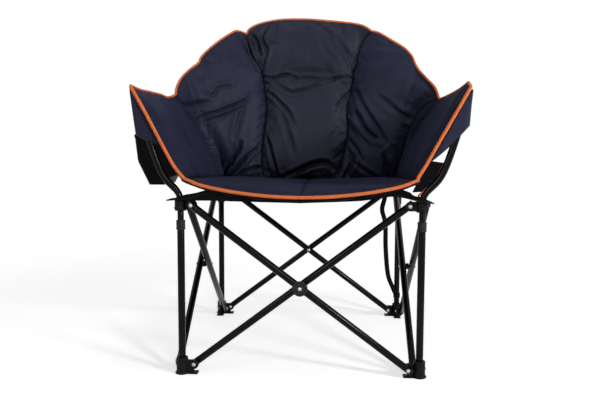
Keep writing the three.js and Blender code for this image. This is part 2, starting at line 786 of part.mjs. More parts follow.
// Posts, tabs and the padded tub, a left one and a right one of each
for (const [name, side] of [
  ["left", -1],
  ["right", 1],
]) {
  const path = armPostPath(side);
  chair.add(piece(`arm_post_${name}`, sweptTube(path, TUBE_R, TUBE_R - TUBE_WALL), COATED_STEEL));
  const groove = solidOf(sweptTube(path, TUBE_R + CLEARANCE, 0));
  const besideArm = solidOf(armPanel(side, CLEARANCE));
  const arm = solidOf(armPanel(side)).subtract(groove);
  chair.add(piece(`arm_panel_${name}`, geometryOf(arm), NAVY_FABRIC));

  const post = piece(
    `back_post_${name}`,
    pipe(TUBE_R, TUBE_R - TUBE_WALL, POST_BOTTOM + CLEARANCE, BACK_POST_TOP),
    COATED_STEEL,
  );
  post.position.set(side * LEG, LEG, 0);
  chair.add(post);
  const slot = uprightRod(TUBE_R + CLEARANCE, POST_BOTTOM, BACK_POST_TOP + CLEARANCE);
  const wing = solidOf(wingPanel(side)).subtract(solidOf(slot.translate(side * LEG, LEG, 0)));
  chair.add(piece(`back_wing_${name}`, geometryOf(wing), NAVY_FABRIC));

  chair.add(
    piece(`seat_pad_${name}`, seatPad(side), NAVY_FABRIC),
    piece(`seat_sling_${name}`, seatSling(side), BLACK_FABRIC),
    piece(`arm_flap_${name}`, armFlap(side, [groove, besideArm]), NAVY_FABRIC),
    piece(`side_gusset_${name}`, gusset(side, [groove, besideArm]), BLACK_FABRIC),
  );

  if (side < 0) {
    chair.add(piece("cup_pocket", cupPocket(besideArm), BLACK_FABRIC));
  }

  for (const end of ["front", "rear"]) {
    const isFront = end === "front";
    const tab = piece(`corner_tab_${end}_${name}`, cornerTab(isFront), BLACK_FABRIC);
    const turn = isFront ? 0 : (side * QUARTER) / 2;
    tab.rotation.z = (side > 0 ? Math.PI : 0) + turn;
    tab.position.set(side * LEG, isFront ? -LEG : LEG, 0);
    chair.add(tab);
  }
}
chair.add(piece("back_panel", backPanel(), NAVY_FABRIC));
chair.add(piece("carry_strap", carryStrap(), BLACK_FABRIC));

export default chair;
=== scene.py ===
"""A folding padded camping chair: a wide tub seat on a square frame of four legs and four X braces.

Metres, +Z up, +Y to the rear. Left and right are as seen from in front, so +X is right.
"""

import json
import math

import bmesh
import bpy
from mathutils import Matrix, Vector, noise


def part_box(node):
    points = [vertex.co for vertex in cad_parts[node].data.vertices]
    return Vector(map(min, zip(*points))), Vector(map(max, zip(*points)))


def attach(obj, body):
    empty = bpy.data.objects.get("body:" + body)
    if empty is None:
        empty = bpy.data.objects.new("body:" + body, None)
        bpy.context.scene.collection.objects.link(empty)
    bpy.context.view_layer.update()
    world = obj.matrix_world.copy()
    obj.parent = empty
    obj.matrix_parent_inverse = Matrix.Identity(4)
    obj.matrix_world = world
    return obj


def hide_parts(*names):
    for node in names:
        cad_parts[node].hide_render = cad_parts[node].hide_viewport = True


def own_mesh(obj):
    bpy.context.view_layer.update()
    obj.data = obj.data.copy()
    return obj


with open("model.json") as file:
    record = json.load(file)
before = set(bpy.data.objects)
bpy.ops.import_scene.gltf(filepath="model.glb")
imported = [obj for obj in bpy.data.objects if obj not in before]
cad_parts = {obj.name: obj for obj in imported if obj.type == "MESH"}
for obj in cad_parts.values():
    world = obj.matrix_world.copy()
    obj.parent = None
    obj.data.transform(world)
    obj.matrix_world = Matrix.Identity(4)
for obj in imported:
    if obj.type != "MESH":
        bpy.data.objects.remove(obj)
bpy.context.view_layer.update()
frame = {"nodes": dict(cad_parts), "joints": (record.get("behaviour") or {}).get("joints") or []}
scene = bpy.context.scene


# Camera. It stands two metres in front of the chair at the height of the backrest, turned a little to the left
# and tipped down, as the photograph was taken. The lens is given in pixels of the 600 by 400 picture.
PICTURE_WIDTH_PX = 600
FOCAL_LENGTH_PX = 657.4
LENS_AXIS_RIGHT_PX, LENS_AXIS_DOWN_PX = 6.1, 0.3
SENSOR_MM = 36
CAMERA_AT = Vector((0.0815, -2.0071, 0.6011))
CAMERA_YAW, CAMERA_PITCH, CAMERA_ROLL = (math.radians(a) for a in (-2.31, 4.85, 0.27))

ahead = Vector((math.sin(CAMERA_YAW) * math.cos(CAMERA_PITCH),
                math.cos(CAMERA_YAW) * math.cos(CAMERA_PITCH),
                -math.sin(CAMERA_PITCH)))
level = Vector((math.cos(CAMERA_YAW), -math.sin(CAMERA_YAW), 0))
across = level * math.cos(CAMERA_ROLL) + level.cross(ahead) * math.sin(CAMERA_ROLL)
camera = bpy.data.objects.new("camera", bpy.data.cameras.new("camera"))
camera.data.sensor_width = SENSOR_MM
camera.data.lens = FOCAL_LENGTH_PX / PICTURE_WIDTH_PX * SENSOR_MM
camera.data.shift_x = -LENS_AXIS_RIGHT_PX / PICTURE_WIDTH_PX
camera.data.shift_y = LENS_AXIS_DOWN_PX / PICTURE_WIDTH_PX
axes = Matrix((across, across.cross(ahead), -ahead)).transposed().to_4x4()
camera.matrix_world = Matrix.Translation(CAMERA_AT) @ axes
scene.collection.objects.link(camera)
scene.camera = camera


# Floor and light. A plain pale floor runs out to a white surround, under a soft light from the upper right, a
# weaker one from the left, one overhead and one behind. Two panels seen in reflections only draw the long
# highlights on the tubes.
FLOOR_REACH = 30
FLOOR_WHITE = "#f4f4f5"
WORLD_LIGHT = 0.14
LAMPS = [
    ("key", (2.5, -2.2, 1.55), 0.5, 67),
    ("fill", (-2.2, -2.3, 1.6), 0.5, 7),
    ("top", (0.0, -0.4, 3.2), 0.6, 9),
    ("rear", (-0.4, 2.6, 2.0), 1.0, 4),
]
REFLECTED_PANELS = [
    ("reflected_left", (-1.2, -2.6, 2.0), 0.7, 16),
    ("reflected_right", (1.2, -2.6, 2.0), 0.7, 20),
]
FLOOR_GLOW = 0.62
FLOOR_GRAIN_MM = 25
FADE_FROM, FADE_TO = 0.7, 2.2
LAMP_AIM = Vector((0, 0, 0.55))


def from_hex(code):
    """An sRGB hex colour as linear red, green, blue and alpha."""
    parts = [int(code[i:i + 2], 16) / 255 for i in (1, 3, 5)]
    return [p / 12.92 if p <= 0.04045 else ((p + 0.055) / 1.055) ** 2.4 for p in parts] + [1]


def add_node(tree, kind, settings=None, inputs=None):
    """A node with its settings, and each input as a value or as another node's output."""
    made = tree.nodes.new(kind)
    for key, value in (settings or {}).items():
        setattr(made, key, value)
    for key, value in (inputs or {}).items():
        if isinstance(value, bpy.types.NodeSocket):
            tree.links.new(value, made.inputs[key])
        else:
            made.inputs[key].default_value = value
    return made


def start_material(name, colour, **sockets):
    """A principled material with its plain values set. Returns the material and its tree."""
    material = bpy.data.materials.new(name)
    material.use_nodes = True
    shader = material.node_tree.nodes["Principled BSDF"]
    shader.inputs["Base Color"].default_value = from_hex(colour)
    for key, value in sockets.items():
        shader.inputs[key.replace("_", " ")].default_value = value
    return material, material.node_tree


def finish_material(material, **sources):
    """Runs node outputs into the sockets of a material's shader. Returns the material."""
    shader = material.node_tree.nodes["Principled BSDF"]
    for key, source in sources.items():
        material.node_tree.links.new(source, shader.inputs[key.replace("_", " ")])
    return material


def looked_at(tree):
    """One where the camera or a reflection looks, and zero where light is gathered from all round."""
    path = add_node(tree, "ShaderNodeLightPath").outputs
    return add_node(tree, "ShaderNodeMath", {"operation": "MAXIMUM"},
                    {0: path["Is Camera Ray"], 1: path["Is Glossy Ray"]}).outputs[0]


def pale_floor():
    """White board that keeps the shadow near the chair and fades to the white surround as the camera sees it."""
    material, tree = start_material("painted_board", FLOOR_WHITE, Roughness=0.8)
    place = add_node(tree, "ShaderNodeTexCoord").outputs["Object"]
    grain = add_node(tree, "ShaderNodeTexNoise", inputs={"Vector": place, "Scale": 1000 / FLOOR_GRAIN_MM})
    bump = add_node(tree, "ShaderNodeBump",
                    inputs={"Height": grain.outputs["Fac"], "Strength": 0.05, "Distance": 0.0005})
    seen = looked_at(tree)
    away = add_node(tree, "ShaderNodeVectorMath", {"operation": "LENGTH"}, {0: place})
    far = add_node(tree, "ShaderNodeMapRange", {"interpolation_type": "SMOOTHSTEP"},
                   {"Value": away.outputs["Value"], "From Min": FADE_FROM, "From Max": FADE_TO})
    fade = add_node(tree, "ShaderNodeMath", {"operation": "MULTIPLY"}, {0: seen, 1: far.outputs["Result"]})
    glow = add_node(tree, "ShaderNodeMath", {"operation": "MULTIPLY"}, {0: seen, 1: FLOOR_GLOW})
    white = add_node(tree, "ShaderNodeEmission")
    shader = tree.nodes["Principled BSDF"]
    shader.inputs["Emission Color"].default_value = (1, 1, 1, 1)
    mix = add_node(tree, "ShaderNodeMixShader",
                   inputs={0: fade.outputs[0], 1: shader.outputs[0], 2: white.outputs[0]})
    tree.links.new(mix.outputs[0], tree.nodes["Material Output"].inputs["Surface"])
    return finish_material(material, Normal=bump.outputs["Normal"], Emission_Strength=glow.outputs[0])


floor_form = bmesh.new()
bmesh.ops.create_grid(floor_form, x_segments=1, y_segments=1, size=FLOOR_REACH)
floor_mesh = bpy.data.meshes.new("floor")
floor_form.to_mesh(floor_mesh)
floor_form.free()
floor_mesh.materials.append(pale_floor())
floor = bpy.data.objects.new("floor", floor_mesh)
scene.collection.objects.link(floor)

for lamp_name, lamp_at, lamp_size, watts in LAMPS + REFLECTED_PANELS:
    lamp = bpy.data.objects.new(lamp_name, bpy.data.lights.new(lamp_name, "AREA"))
    lamp.data.size = lamp_size
    lamp.data.energy = watts
    lamp.location = lamp_at
    lamp.rotation_euler = (LAMP_AIM - lamp.location).to_track_quat("-Z", "Y").to_euler()
    lamp.visible_diffuse = not lamp_name.startswith("reflected")
    scene.collection.objects.link(lamp)

scene.world = bpy.data.worlds.new("surround")
scene.world.use_nodes = True
sky = scene.world.node_tree
dim = add_node(sky, "ShaderNodeMath", {"operation": "MULTIPLY_ADD"},
               {0: looked_at(sky), 1: 1 - WORLD_LIGHT, 2: WORLD_LIGHT})
sky.nodes["Background"].inputs["Color"].default_value = (1, 1, 1, 1)
sky.links.new(dim.outputs[0], sky.nodes["Background"].inputs["Strength"])
scene.view_settings.view_transform = "Standard"


# Leg and brace tubes. Drawn steel tube, powder coated in gloss black: a hard skin with a faint orange peel
# that breaks the long highlights. The braces lie against the ears of the feet and brackets on rivets.
CORNERS = ["front_left", "front_right", "rear_right", "rear_left"]
SIDES = ["front", "right", "rear", "left"]
COAT_BLACK = "#040405"
ORANGE_PEEL_MM, SCUFF_MM = 3.0, 45.45
ROUND = 40
TUBE_END_BEVEL = 0.0007

leg_low, leg_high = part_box("lower_leg_front_left")
rear_low, rear_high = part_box("lower_leg_rear_right")
TUBE_RADIUS = (leg_high.x - leg_low.x) / 2
LEG_HALF = (rear_high.x + rear_low.x - leg_high.x - leg_low.x) / 4
CENTRE_Y = (rear_high.y + rear_low.y + leg_high.y + leg_low.y) / 4
joint_at = {j["name"]: Vector(j["pos_m"]) for j in frame["joints"]}
FOOT_PIVOT_Z = joint_at["fold"].z
UPPER_PIVOT_Z = joint_at["front_right_upper"].z
PIVOT_HALF = joint_at["front_right_upper"].x
PIVOT_INSET = LEG_HALF - PIVOT_HALF


def corner_frame(turn):
    """From a corner's own frame, with +X and +Y running in along the two sides, to the chair's."""
    quarter = Matrix.Rotation(turn * math.pi / 2, 4, "Z")
    return Matrix.Translation((0, CENTRE_Y, 0)) @ quarter @ Matrix.Translation((-LEG_HALF, -LEG_HALF, 0))


def side_frame(turn):
    """From a side's own frame, centred on its crossing with +X along the side, to the chair's."""
    quarter = Matrix.Rotation(turn * math.pi / 2, 4, "Z")
    lift = (FOOT_PIVOT_Z + UPPER_PIVOT_Z) / 2
    return Matrix.Translation((0, CENTRE_Y, 0)) @ quarter @ Matrix.Translation((0, -LEG_HALF, lift))


def powder_coat():
    """Gloss black coat with a faint orange peel and broad duller scuffs, so a highlight is sharp but not a mirror."""
    material, tree = start_material("gloss_powder_coat", COAT_BLACK, Roughness=0.2, Specular_IOR_Level=0.11)
    place = add_node(tree, "ShaderNodeTexCoord").outputs["Object"]
    peel = add_node(tree, "ShaderNodeTexNoise",
                    inputs={"Vector": place, "Scale": 1000 / ORANGE_PEEL_MM, "Detail": 2.0})
    scuff = add_node(tree, "ShaderNodeTexNoise",
                     inputs={"Vector": place, "Scale": 1000 / SCUFF_MM, "Detail": 8.0})
    rough = add_node(tree, "ShaderNodeMapRange", inputs={"Value": scuff.outputs["Fac"], "From Min": 0.35,
                                                        "From Max": 0.75, "To Min": 0.16, "To Max": 0.26})
    bump = add_node(tree, "ShaderNodeBump",
                    inputs={"Height": peel.outputs["Fac"], "Strength": 0.02, "Distance": 0.0001})
    return finish_material(material, Roughness=rough.outputs["Result"], Normal=bump.outputs["Normal"])


def stand_for(name, form, material, body, slot, *nodes, sharp=35, at=Matrix()):
    """A finished piece from a form, put in its place: smooth but for its sharp edges, riding on a body, standing
    for CAD nodes."""
    bmesh.ops.transform(form, matrix=at, verts=form.verts)
    bmesh.ops.recalc_face_normals(form, faces=form.faces)
    if form.calc_volume(signed=True) < 0:
        bmesh.ops.reverse_faces(form, faces=form.faces)
    mesh = bpy.data.meshes.new(name)
    form.to_mesh(mesh)
    form.free()
    mesh.shade_smooth()
    mesh.set_sharp_from_angle(angle=math.radians(sharp))
    mesh.materials.append(material)
    piece = bpy.data.objects.new(name, mesh)
    scene.collection.objects.link(piece)
    if body:
        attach(piece, body)
    if nodes:
        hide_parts(*nodes)
    return piece


def break_edges(form, edges, width):
    """Bevels edges with two facets, as a moulding's or a deburred tube's are."""
    bmesh.ops.bevel(form, geom=list(edges), offset=width, affect="EDGES", segments=2, profile=0.5, material=-1)


def add_rod(form, start, end, radius, bevel=TUBE_END_BEVEL, sides=ROUND):
    """A round bar between two points, with its end edges broken."""
    run = Vector(end) - Vector(start)
    turn = Vector((0, 0, 1)).rotation_difference(run).to_matrix().to_4x4()
    place = Matrix.Translation((Vector(start) + Vector(end)) / 2) @ turn
    made = bmesh.ops.create_cone(form, cap_ends=True, segments=sides, radius1=radius, radius2=radius,
                                 depth=run.length, matrix=place)["verts"]
    if bevel:
        break_edges(form, {e for v in made for e in v.link_edges if any(len(f.verts) > 4 for f in e.link_faces)},
                    bevel)


coated = powder_coat()
for turn, corner in enumerate(CORNERS):
    for node, body in ((f"lower_leg_{corner}", f"{corner}_leg"), (f"inner_tube_{corner}", f"{corner}_upper")):
        low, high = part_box(node)
        middle = (low + high) / 2
        tube = bmesh.new()
        add_rod(tube, (middle.x, middle.y, low.z), (middle.x, middle.y, high.z), (high.x - low.x) / 2)
        stand_for(f"{node}_tube", tube, coated, body, "coated_steel", node)

EAR_THICKNESS = 0.008
CLEARANCE = 0.0003
BRACE_OFFSET = EAR_THICKNESS / 2 + CLEARANCE + TUBE_RADIUS
BRACE_END = 0.010
CAP_LIP, CAP_LENGTH, CAP_BEVEL = 0.0006, 0.006, 0.0015
# The grains of a spark-eroded mould, and the broad flow marks of the moulding
SPARK_MM, FLOW_MM = 0.7143, 16.67
brace_rise = UPPER_PIVOT_Z - FOOT_PIVOT_Z
brace_angle = math.atan2(brace_rise, 2 * PIVOT_HALF)


def moulded_nylon(name, colour):
    """Nylon with a fine spark texture and uneven flow marks, which give it a dull, slightly cloudy sheen."""
    material, tree = start_material(name, colour, Roughness=0.5, Specular_IOR_Level=0.12)
    place = add_node(tree, "ShaderNodeTexCoord").outputs["Object"]
    spark = add_node(tree, "ShaderNodeTexNoise",
                     inputs={"Vector": place, "Scale": 1000 / SPARK_MM, "Detail": 3.0})
    flow = add_node(tree, "ShaderNodeTexNoise", inputs={"Vector": place, "Scale": 1000 / FLOW_MM, "Detail": 4.0})
    rough = add_node(tree, "ShaderNodeMapRange",
                     inputs={"Value": flow.outputs["Fac"], "To Min": 0.38, "To Max": 0.6})
    bump = add_node(tree, "ShaderNodeBump",
                    inputs={"Height": spark.outputs["Fac"], "Strength": 0.35, "Distance": 0.0002})
    return finish_material(material, Roughness=rough.outputs["Result"], Normal=bump.outputs["Normal"])


nylon = moulded_nylon("moulded_nylon", "#0b0b0d")
filled_nylon = moulded_nylon("glass_filled_nylon", "#2a2a2d")
for turn, side in enumerate(SIDES):
    for kind, sign in (("rising", 1), ("falling", -1)):
        run = Vector((math.cos(brace_angle), 0, sign * math.sin(brace_angle)))
        reach = math.hypot(PIVOT_HALF, brace_rise / 2) + BRACE_END
        offset = Vector((0, sign * BRACE_OFFSET, 0))
        brace = bmesh.new()
        add_rod(brace, offset - run * reach, offset + run * reach, TUBE_RADIUS)
        body = f"{side}_{kind}"
        stand_for(f"brace_{kind}_{side}_tube", brace, coated, body, "coated_steel", f"brace_{kind}_{side}",
                  at=side_frame(turn))
        caps = bmesh.new()
        for end in (-1, 1):
            mouth = offset + run * end * reach
            add_rod(caps, mouth - run * end * CAP_LENGTH, mouth + run * end * CAP_LIP * 3,
                    TUBE_RADIUS + CAP_LIP, bevel=CAP_BEVEL)
        stand_for(f"brace_caps_{kind}_{side}", caps, nylon, body, "black_plastic", at=side_frame(turn))


# Feet and upper brackets. Black nylon mouldings: a socket for the leg tube and two ears at right angles, with
# blended corners and a fine spark texture. The foot also has a broad base with a broken edge.
SOCKET_RADIUS, SOCKET_BEVEL = 0.0152, 0.001
EAR_RADIUS = 0.0122
PIN_RADIUS, PIN_PROUD, PIN_BEVEL, PIN_SIDES = 0.0034, 0.0012, 0.0004, 20
BASE_RADIUS, BASE_HALF_WIDTH, BASE_REACH, BASE_THICKNESS = 0.0185, 0.0115, 0.0425, 0.0052
BASE_RIM_BEVEL, BASE_ARM_BEVEL = 0.0015, 0.0018
COLLAR_LIP, COLLAR_WAIST_IN, COLLAR_WAIST_BEVEL, COLLAR_LIP_BEVEL = 0.0035, 0.0005, 0.0008, 0.0009
MOULD_VOXEL = 0.0009
MOULD_SMOOTHING = 4


def add_block(form, low, high, bevel=0.0):
    """A box between two corners, with its edges broken."""
    size = Vector(high) - Vector(low)
    place = Matrix.Translation((Vector(low) + Vector(high)) / 2) @ Matrix.Diagonal((*size, 1))
    made = bmesh.ops.create_cube(form, size=1, matrix=place)["verts"]
    if bevel:
        break_edges(form, {e for v in made for e in v.link_edges}, bevel)


def bake_modifiers(piece):
    """Leaves the piece with the smooth mesh that its modifiers make, and with the modifiers gone."""
    bpy.context.view_layer.update()
    made = bpy.data.meshes.new_from_object(piece.evaluated_get(bpy.context.evaluated_depsgraph_get()))
    piece.modifiers.clear()
    piece.data = made
    made.shade_smooth()


def mould(piece):
    """Runs the joined blocks of a moulding into one skin with blended corners."""
    skin = piece.modifiers.new("skin", "REMESH")
    skin.mode = "VOXEL"
    skin.voxel_size = MOULD_VOXEL
    soften = piece.modifiers.new("soften", "SMOOTH")
    soften.factor = 0.5
    soften.iterations = MOULD_SMOOTHING
    bake_modifiers(piece)


def add_ears(form, pivot_z, half_height):
    """Two bearing plates from the leg out to the pivots, along +X and along +Y."""
    half = EAR_THICKNESS / 2
    for swap in (False, True):
        corner_low = (0, -half, pivot_z - half_height)
        corner_high = (PIVOT_INSET, half, pivot_z + half_height)
        ends = [(PIVOT_INSET, -half, pivot_z), (PIVOT_INSET, half, pivot_z)]
        if swap:
            corner_low, corner_high = (-half, 0, corner_low[2]), (half, PIVOT_INSET, corner_high[2])
            ends = [(y, x, z) for x, y, z in ends]
        add_block(form, corner_low, corner_high)
        add_rod(form, ends[0], ends[1], EAR_RADIUS, bevel=0)


def add_pin(form, z):
    """The head of the cross pin that holds the tube, on the two outer faces of the socket."""
    for along in (Vector((0, -1, 0)), Vector((-1, 0, 0))):
        seat = along * (SOCKET_RADIUS - PIN_PROUD) + Vector((0, 0, z))
        add_rod(form, seat, seat + along * PIN_PROUD * 2, PIN_RADIUS, bevel=PIN_BEVEL, sides=PIN_SIDES)


for turn, corner in enumerate(CORNERS):
    here = corner_frame(turn)
    foot = bmesh.new()
    add_rod(foot, (0, 0, 0), (0, 0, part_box(f"foot_{corner}")[1].z), SOCKET_RADIUS, bevel=SOCKET_BEVEL)
    add_rod(foot, (0, 0, 0), (0, 0, BASE_THICKNESS), BASE_RADIUS, bevel=BASE_RIM_BEVEL)
    add_block(foot, (0, -BASE_HALF_WIDTH, 0), (BASE_REACH, BASE_HALF_WIDTH, BASE_THICKNESS), bevel=BASE_ARM_BEVEL)
    add_block(foot, (-BASE_HALF_WIDTH, 0, 0), (BASE_HALF_WIDTH, BASE_REACH, BASE_THICKNESS), bevel=BASE_ARM_BEVEL)
    add_block(foot, (0, -EAR_THICKNESS / 2, 0), (PIVOT_INSET, EAR_THICKNESS / 2, FOOT_PIVOT_Z))
    add_block(foot, (-EAR_THICKNESS / 2, 0, 0), (EAR_THICKNESS / 2, PIVOT_INSET, FOOT_PIVOT_Z))
    add_ears(foot, FOOT_PIVOT_Z, EAR_RADIUS)
    add_pin(foot, FOOT_PIVOT_Z)
    mould(stand_for(f"foot_moulding_{corner}", foot, nylon, f"{corner}_leg", "black_plastic", f"foot_{corner}",
                    at=here))

    bracket_low, bracket_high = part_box(f"bracket_{corner}")
    half_height = (bracket_high.z - bracket_low.z) / 2
    bracket = bmesh.new()
    add_rod(bracket, (0, 0, bracket_low.z), (0, 0, bracket_high.z), SOCKET_RADIUS, bevel=SOCKET_BEVEL)
    add_ears(bracket, UPPER_PIVOT_Z, EAR_RADIUS)
    add_pin(bracket, UPPER_PIVOT_Z - half_height / 2)
    mould(stand_for(f"bracket_moulding_{corner}", bracket, nylon, f"{corner}_upper", "black_plastic",
                    f"bracket_{corner}", at=here))

    sleeve_low, sleeve_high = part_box(f"sleeve_{corner}")
    outer = (sleeve_high.x - sleeve_low.x) / 2
    collar = bmesh.new()
    for start, end, radius, bevel in (
            (sleeve_low.z, sleeve_high.z, outer - COLLAR_WAIST_IN, COLLAR_WAIST_BEVEL),
            (sleeve_low.z, sleeve_low.z + COLLAR_LIP, outer, COLLAR_LIP_BEVEL),
            (sleeve_high.z - COLLAR_LIP, sleeve_high.z, outer, COLLAR_LIP_BEVEL)):
        add_rod(collar, (0, 0, start), (0, 0, end), radius, bevel=bevel)
    stand_for(f"sleeve_collar_{corner}", collar, filled_nylon, f"{corner}_leg", "black_plastic",
              f"sleeve_{corner}", at=here)


# Rivets. Zinc-plated steel with domed heads on thin washers, bright against the black: one through each ear
# and brace, and one through each crossing, where the braces turn about it on a nylon spacer.
HEAD_RADIUS, HEAD_HEIGHT, HEAD_SIDES = 0.0040, 0.0024, 24
WASHER_RADIUS, WASHER_THICKNESS, WASHER_BEVEL = 0.0050, 0.0008, 0.0003
SPACER_BEVEL = 0.0008
BRACE_FACE = BRACE_OFFSET + TUBE_RADIUS
DISC_THICKNESS, DISC_RIBS, DISC_RIB_DEPTH = 0.006, 48, 0.0009
# The disc's face steps down inside its rim and up again round its middle. Inset, then step.
DISC_STEPS = [(0.0035, -0.0012), (0.0075, 0.0012)]
ZINC_CLOUD_MM = 2.381


def zinc_plate():
    """Bright plating with small cloudy patches, so the domes glint softly and not all alike."""
    material, tree = start_material("zinc_plated_steel", "#b4b6ba", Metallic=1.0, Roughness=0.3)
    place = add_node(tree, "ShaderNodeTexCoord").outputs["Object"]
    cloud = add_node(tree, "ShaderNodeTexNoise",
                     inputs={"Vector": place, "Scale": 1000 / ZINC_CLOUD_MM, "Detail": 4.0})
    rough = add_node(tree, "ShaderNodeMapRange",
                     inputs={"Value": cloud.outputs["Fac"], "To Min": 0.2, "To Max": 0.42})
    return finish_material(material, Roughness=rough.outputs["Result"])


def add_rivet_head(form, seat, outward):
    """A washer and a domed head that stand on a face at a point."""
    seat, outward = Vector(seat), Vector(outward)
    add_rod(form, seat, seat + outward * WASHER_THICKNESS, WASHER_RADIUS, bevel=WASHER_BEVEL, sides=HEAD_SIDES)
    turn = Vector((0, 0, 1)).rotation_difference(outward).to_matrix().to_4x4()
    dome = Matrix.Translation(seat + outward * WASHER_THICKNESS) @ turn
    flat = Matrix.Diagonal((1, 1, HEAD_HEIGHT / HEAD_RADIUS, 1))
    bmesh.ops.create_uvsphere(form, u_segments=HEAD_SIDES, v_segments=HEAD_SIDES // 2, radius=HEAD_RADIUS,
                              matrix=dome @ flat)


zinc = zinc_plate()
for turn, corner in enumerate(CORNERS):
    for kind, body, pivot_z, side in (("foot", f"{corner}_leg", FOOT_PIVOT_Z, 1),
                                      ("bracket", f"{corner}_upper", UPPER_PIVOT_Z, -1)):
        rivets = bmesh.new()
        half = EAR_THICKNESS / 2
        add_rivet_head(rivets, (PIVOT_INSET, side * BRACE_FACE, pivot_z), (0, side, 0))
        add_rivet_head(rivets, (PIVOT_INSET, -side * half, pivot_z), (0, -side, 0))
        add_rivet_head(rivets, (-side * BRACE_FACE, PIVOT_INSET, pivot_z), (-side, 0, 0))
        add_rivet_head(rivets, (side * half, PIVOT_INSET, pivot_z), (side, 0, 0))
        stand_for(f"{kind}_rivets_{corner}", rivets, zinc, body, "rivet_steel", at=corner_frame(turn))

for turn, side in enumerate(SIDES):
    proud = BRACE_FACE + (DISC_THICKNESS if side == "front" else 0)
    hub = bmesh.new()
    add_rivet_head(hub, (0, -proud, 0), (0, -1, 0))
    add_rivet_head(hub, (0, BRACE_FACE, 0), (0, 1, 0))
    stand_for(f"crossing_rivet_{side}", hub, zinc, f"{side}_rising", "rivet_steel", f"hub_rivet_{side}",
              at=side_frame(turn))
    spacer_low, spacer_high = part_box(f"hub_spacer_{side}")
    gap = EAR_THICKNESS / 2
    spacer = bmesh.new()
    add_rod(spacer, (0, -gap, 0), (0, gap, 0), (spacer_high.z - spacer_low.z) / 2, bevel=SPACER_BEVEL)
    stand_for(f"crossing_spacer_{side}", spacer, nylon, f"{side}_rising", "black_plastic", f"hub_spacer_{side}",
              at=side_frame(turn))


def raise_faces(form, faces, step):
    """Extrudes faces along Z and returns the ones that were made."""
    made = bmesh.ops.extrude_face_region(form, geom=faces)["geom"]
    bmesh.ops.translate(form, vec=(0, 0, step), verts=[g for g in made if isinstance(g, bmesh.types.BMVert)])
    return [g for g in made if isinstance(g, bmesh.types.BMFace)]


disc_low, disc_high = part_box("hub_disc")
disc_radius = (disc_high.z - disc_low.z) / 2
disc = bmesh.new()
rim = bmesh.ops.create_circle(disc, cap_ends=True, segments=2 * DISC_RIBS, radius=disc_radius)["verts"]
for count, vert in enumerate(rim):
    if count % 2:
        vert.co *= 1 - DISC_RIB_DEPTH / disc_radius
raise_faces(disc, disc.faces[:], DISC_THICKNESS)
face = max((f for f in disc.faces if len(f.verts) > 4), key=lambda f: f.calc_center_median().z)
for inset, step in DISC_STEPS:
    bmesh.ops.inset_region(disc, faces=[face], thickness=inset, use_even_offset=True)
    stepped = raise_faces(disc, [face], step)[0]
    bmesh.ops.delete(disc, geom=[face], context="FACES")
    face = stepped
facing_front = Matrix.Translation((0, -BRACE_FACE, 0)) @ Matrix.Rotation(math.pi / 2, 4, "X")
stand_for("crossing_disc", disc, filled_nylon, "front_rising", "black_plastic", "hub_disc",
          at=side_frame(0) @ facing_front)


# Arm and back posts. The same coated tube, bent cold: the arm posts step outwards just above their brackets
# and run up into the flaps, and the back posts stand straight up inside the wings.
SAME_POINT = 0.00001
FLAT_WITHIN, SQUARE_WITHIN = 0.1, 0.8


def copied(node):
    """A form with a CAD node's own shape, its loose triangles joined up."""
    form = bmesh.new()
    form.from_mesh(frame["nodes"][node].data)
    bmesh.ops.remove_doubles(form, verts=form.verts, dist=SAME_POINT)
    bmesh.ops.join_triangles(form, faces=form.faces, angle_face_threshold=FLAT_WITHIN,
                             angle_shape_threshold=SQUARE_WITHIN)
    return form


def subdivide(piece):
    """Rounds a finished piece by one level of subdivision."""
    piece.modifiers.new("rounding", "SUBSURF").render_levels = 1
    bake_modifiers(piece)


for name in ("left", "right"):
    for node, body in ((f"arm_post_{name}", f"front_{name}_upper"), (f"back_post_{name}", f"rear_{name}_upper")):
        subdivide(stand_for(f"{node}_tube", copied(node), coated, body, "coated_steel", node))


# Tub panels. Two arms, two wings and a centre back of plain-woven polyester over foam, cut from one wall that
# runs round the seat and sewn edge to edge. Each is stuffed and pulled in along its seams, which pucker.
SEAT_INSET, SEAT_REAR_INSET, FRONT_OVERHANG = 0.012, 0.045, 0.015
CORNER_LIFT, SEAT_SAG = 0.049, 0.039
ARM_FLARE, ARM_RISE, BACK_RISE, BACK_LEAN, BACK_BELLY = 0.132, 0.241, 0.285, 0.120, 0.014
BASE_HALF = LEG_HALF - SEAT_INSET
BASE_FRONT = -LEG_HALF - FRONT_OVERHANG
BASE_DEPTH = LEG_HALF - SEAT_REAR_INSET - BASE_FRONT
CORNER_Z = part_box("bracket_front_left")[1].z + CORNER_LIFT
SEAT_Z = CORNER_Z - SEAT_SAG
ARM_Z = CORNER_Z + ARM_RISE

# Shares of half width, depth and rise, from the left front edge round to the middle of the back
BASE_SHARES = [(1, 0, 1), (1, 0.48, 0.72), (0.985, 0.985, 0.4), (0.84, 0.995, 0.33), (0.63, 1, 0.3), (0.4, 1, 0.27),
               (0.2, 1, 0.26), (0, 1, 0.25)]
RIM_SHARES = [(0.99, 0, 0), (1.015, 0.35, 0), (0.98, 0.641, 0.02), (0.885, 0.8, 0.36), (0.72, 0.875, 0.67),
              (0.5, 0.94, 0.835), (0.3, 0.985, 0.975), (0, 1, 1)]
STATIONS = 2 * (len(RIM_SHARES) - 1)
CHORD_SHARE = 0.002
SEWN = 0.005
CROWN_POWER = 2.6

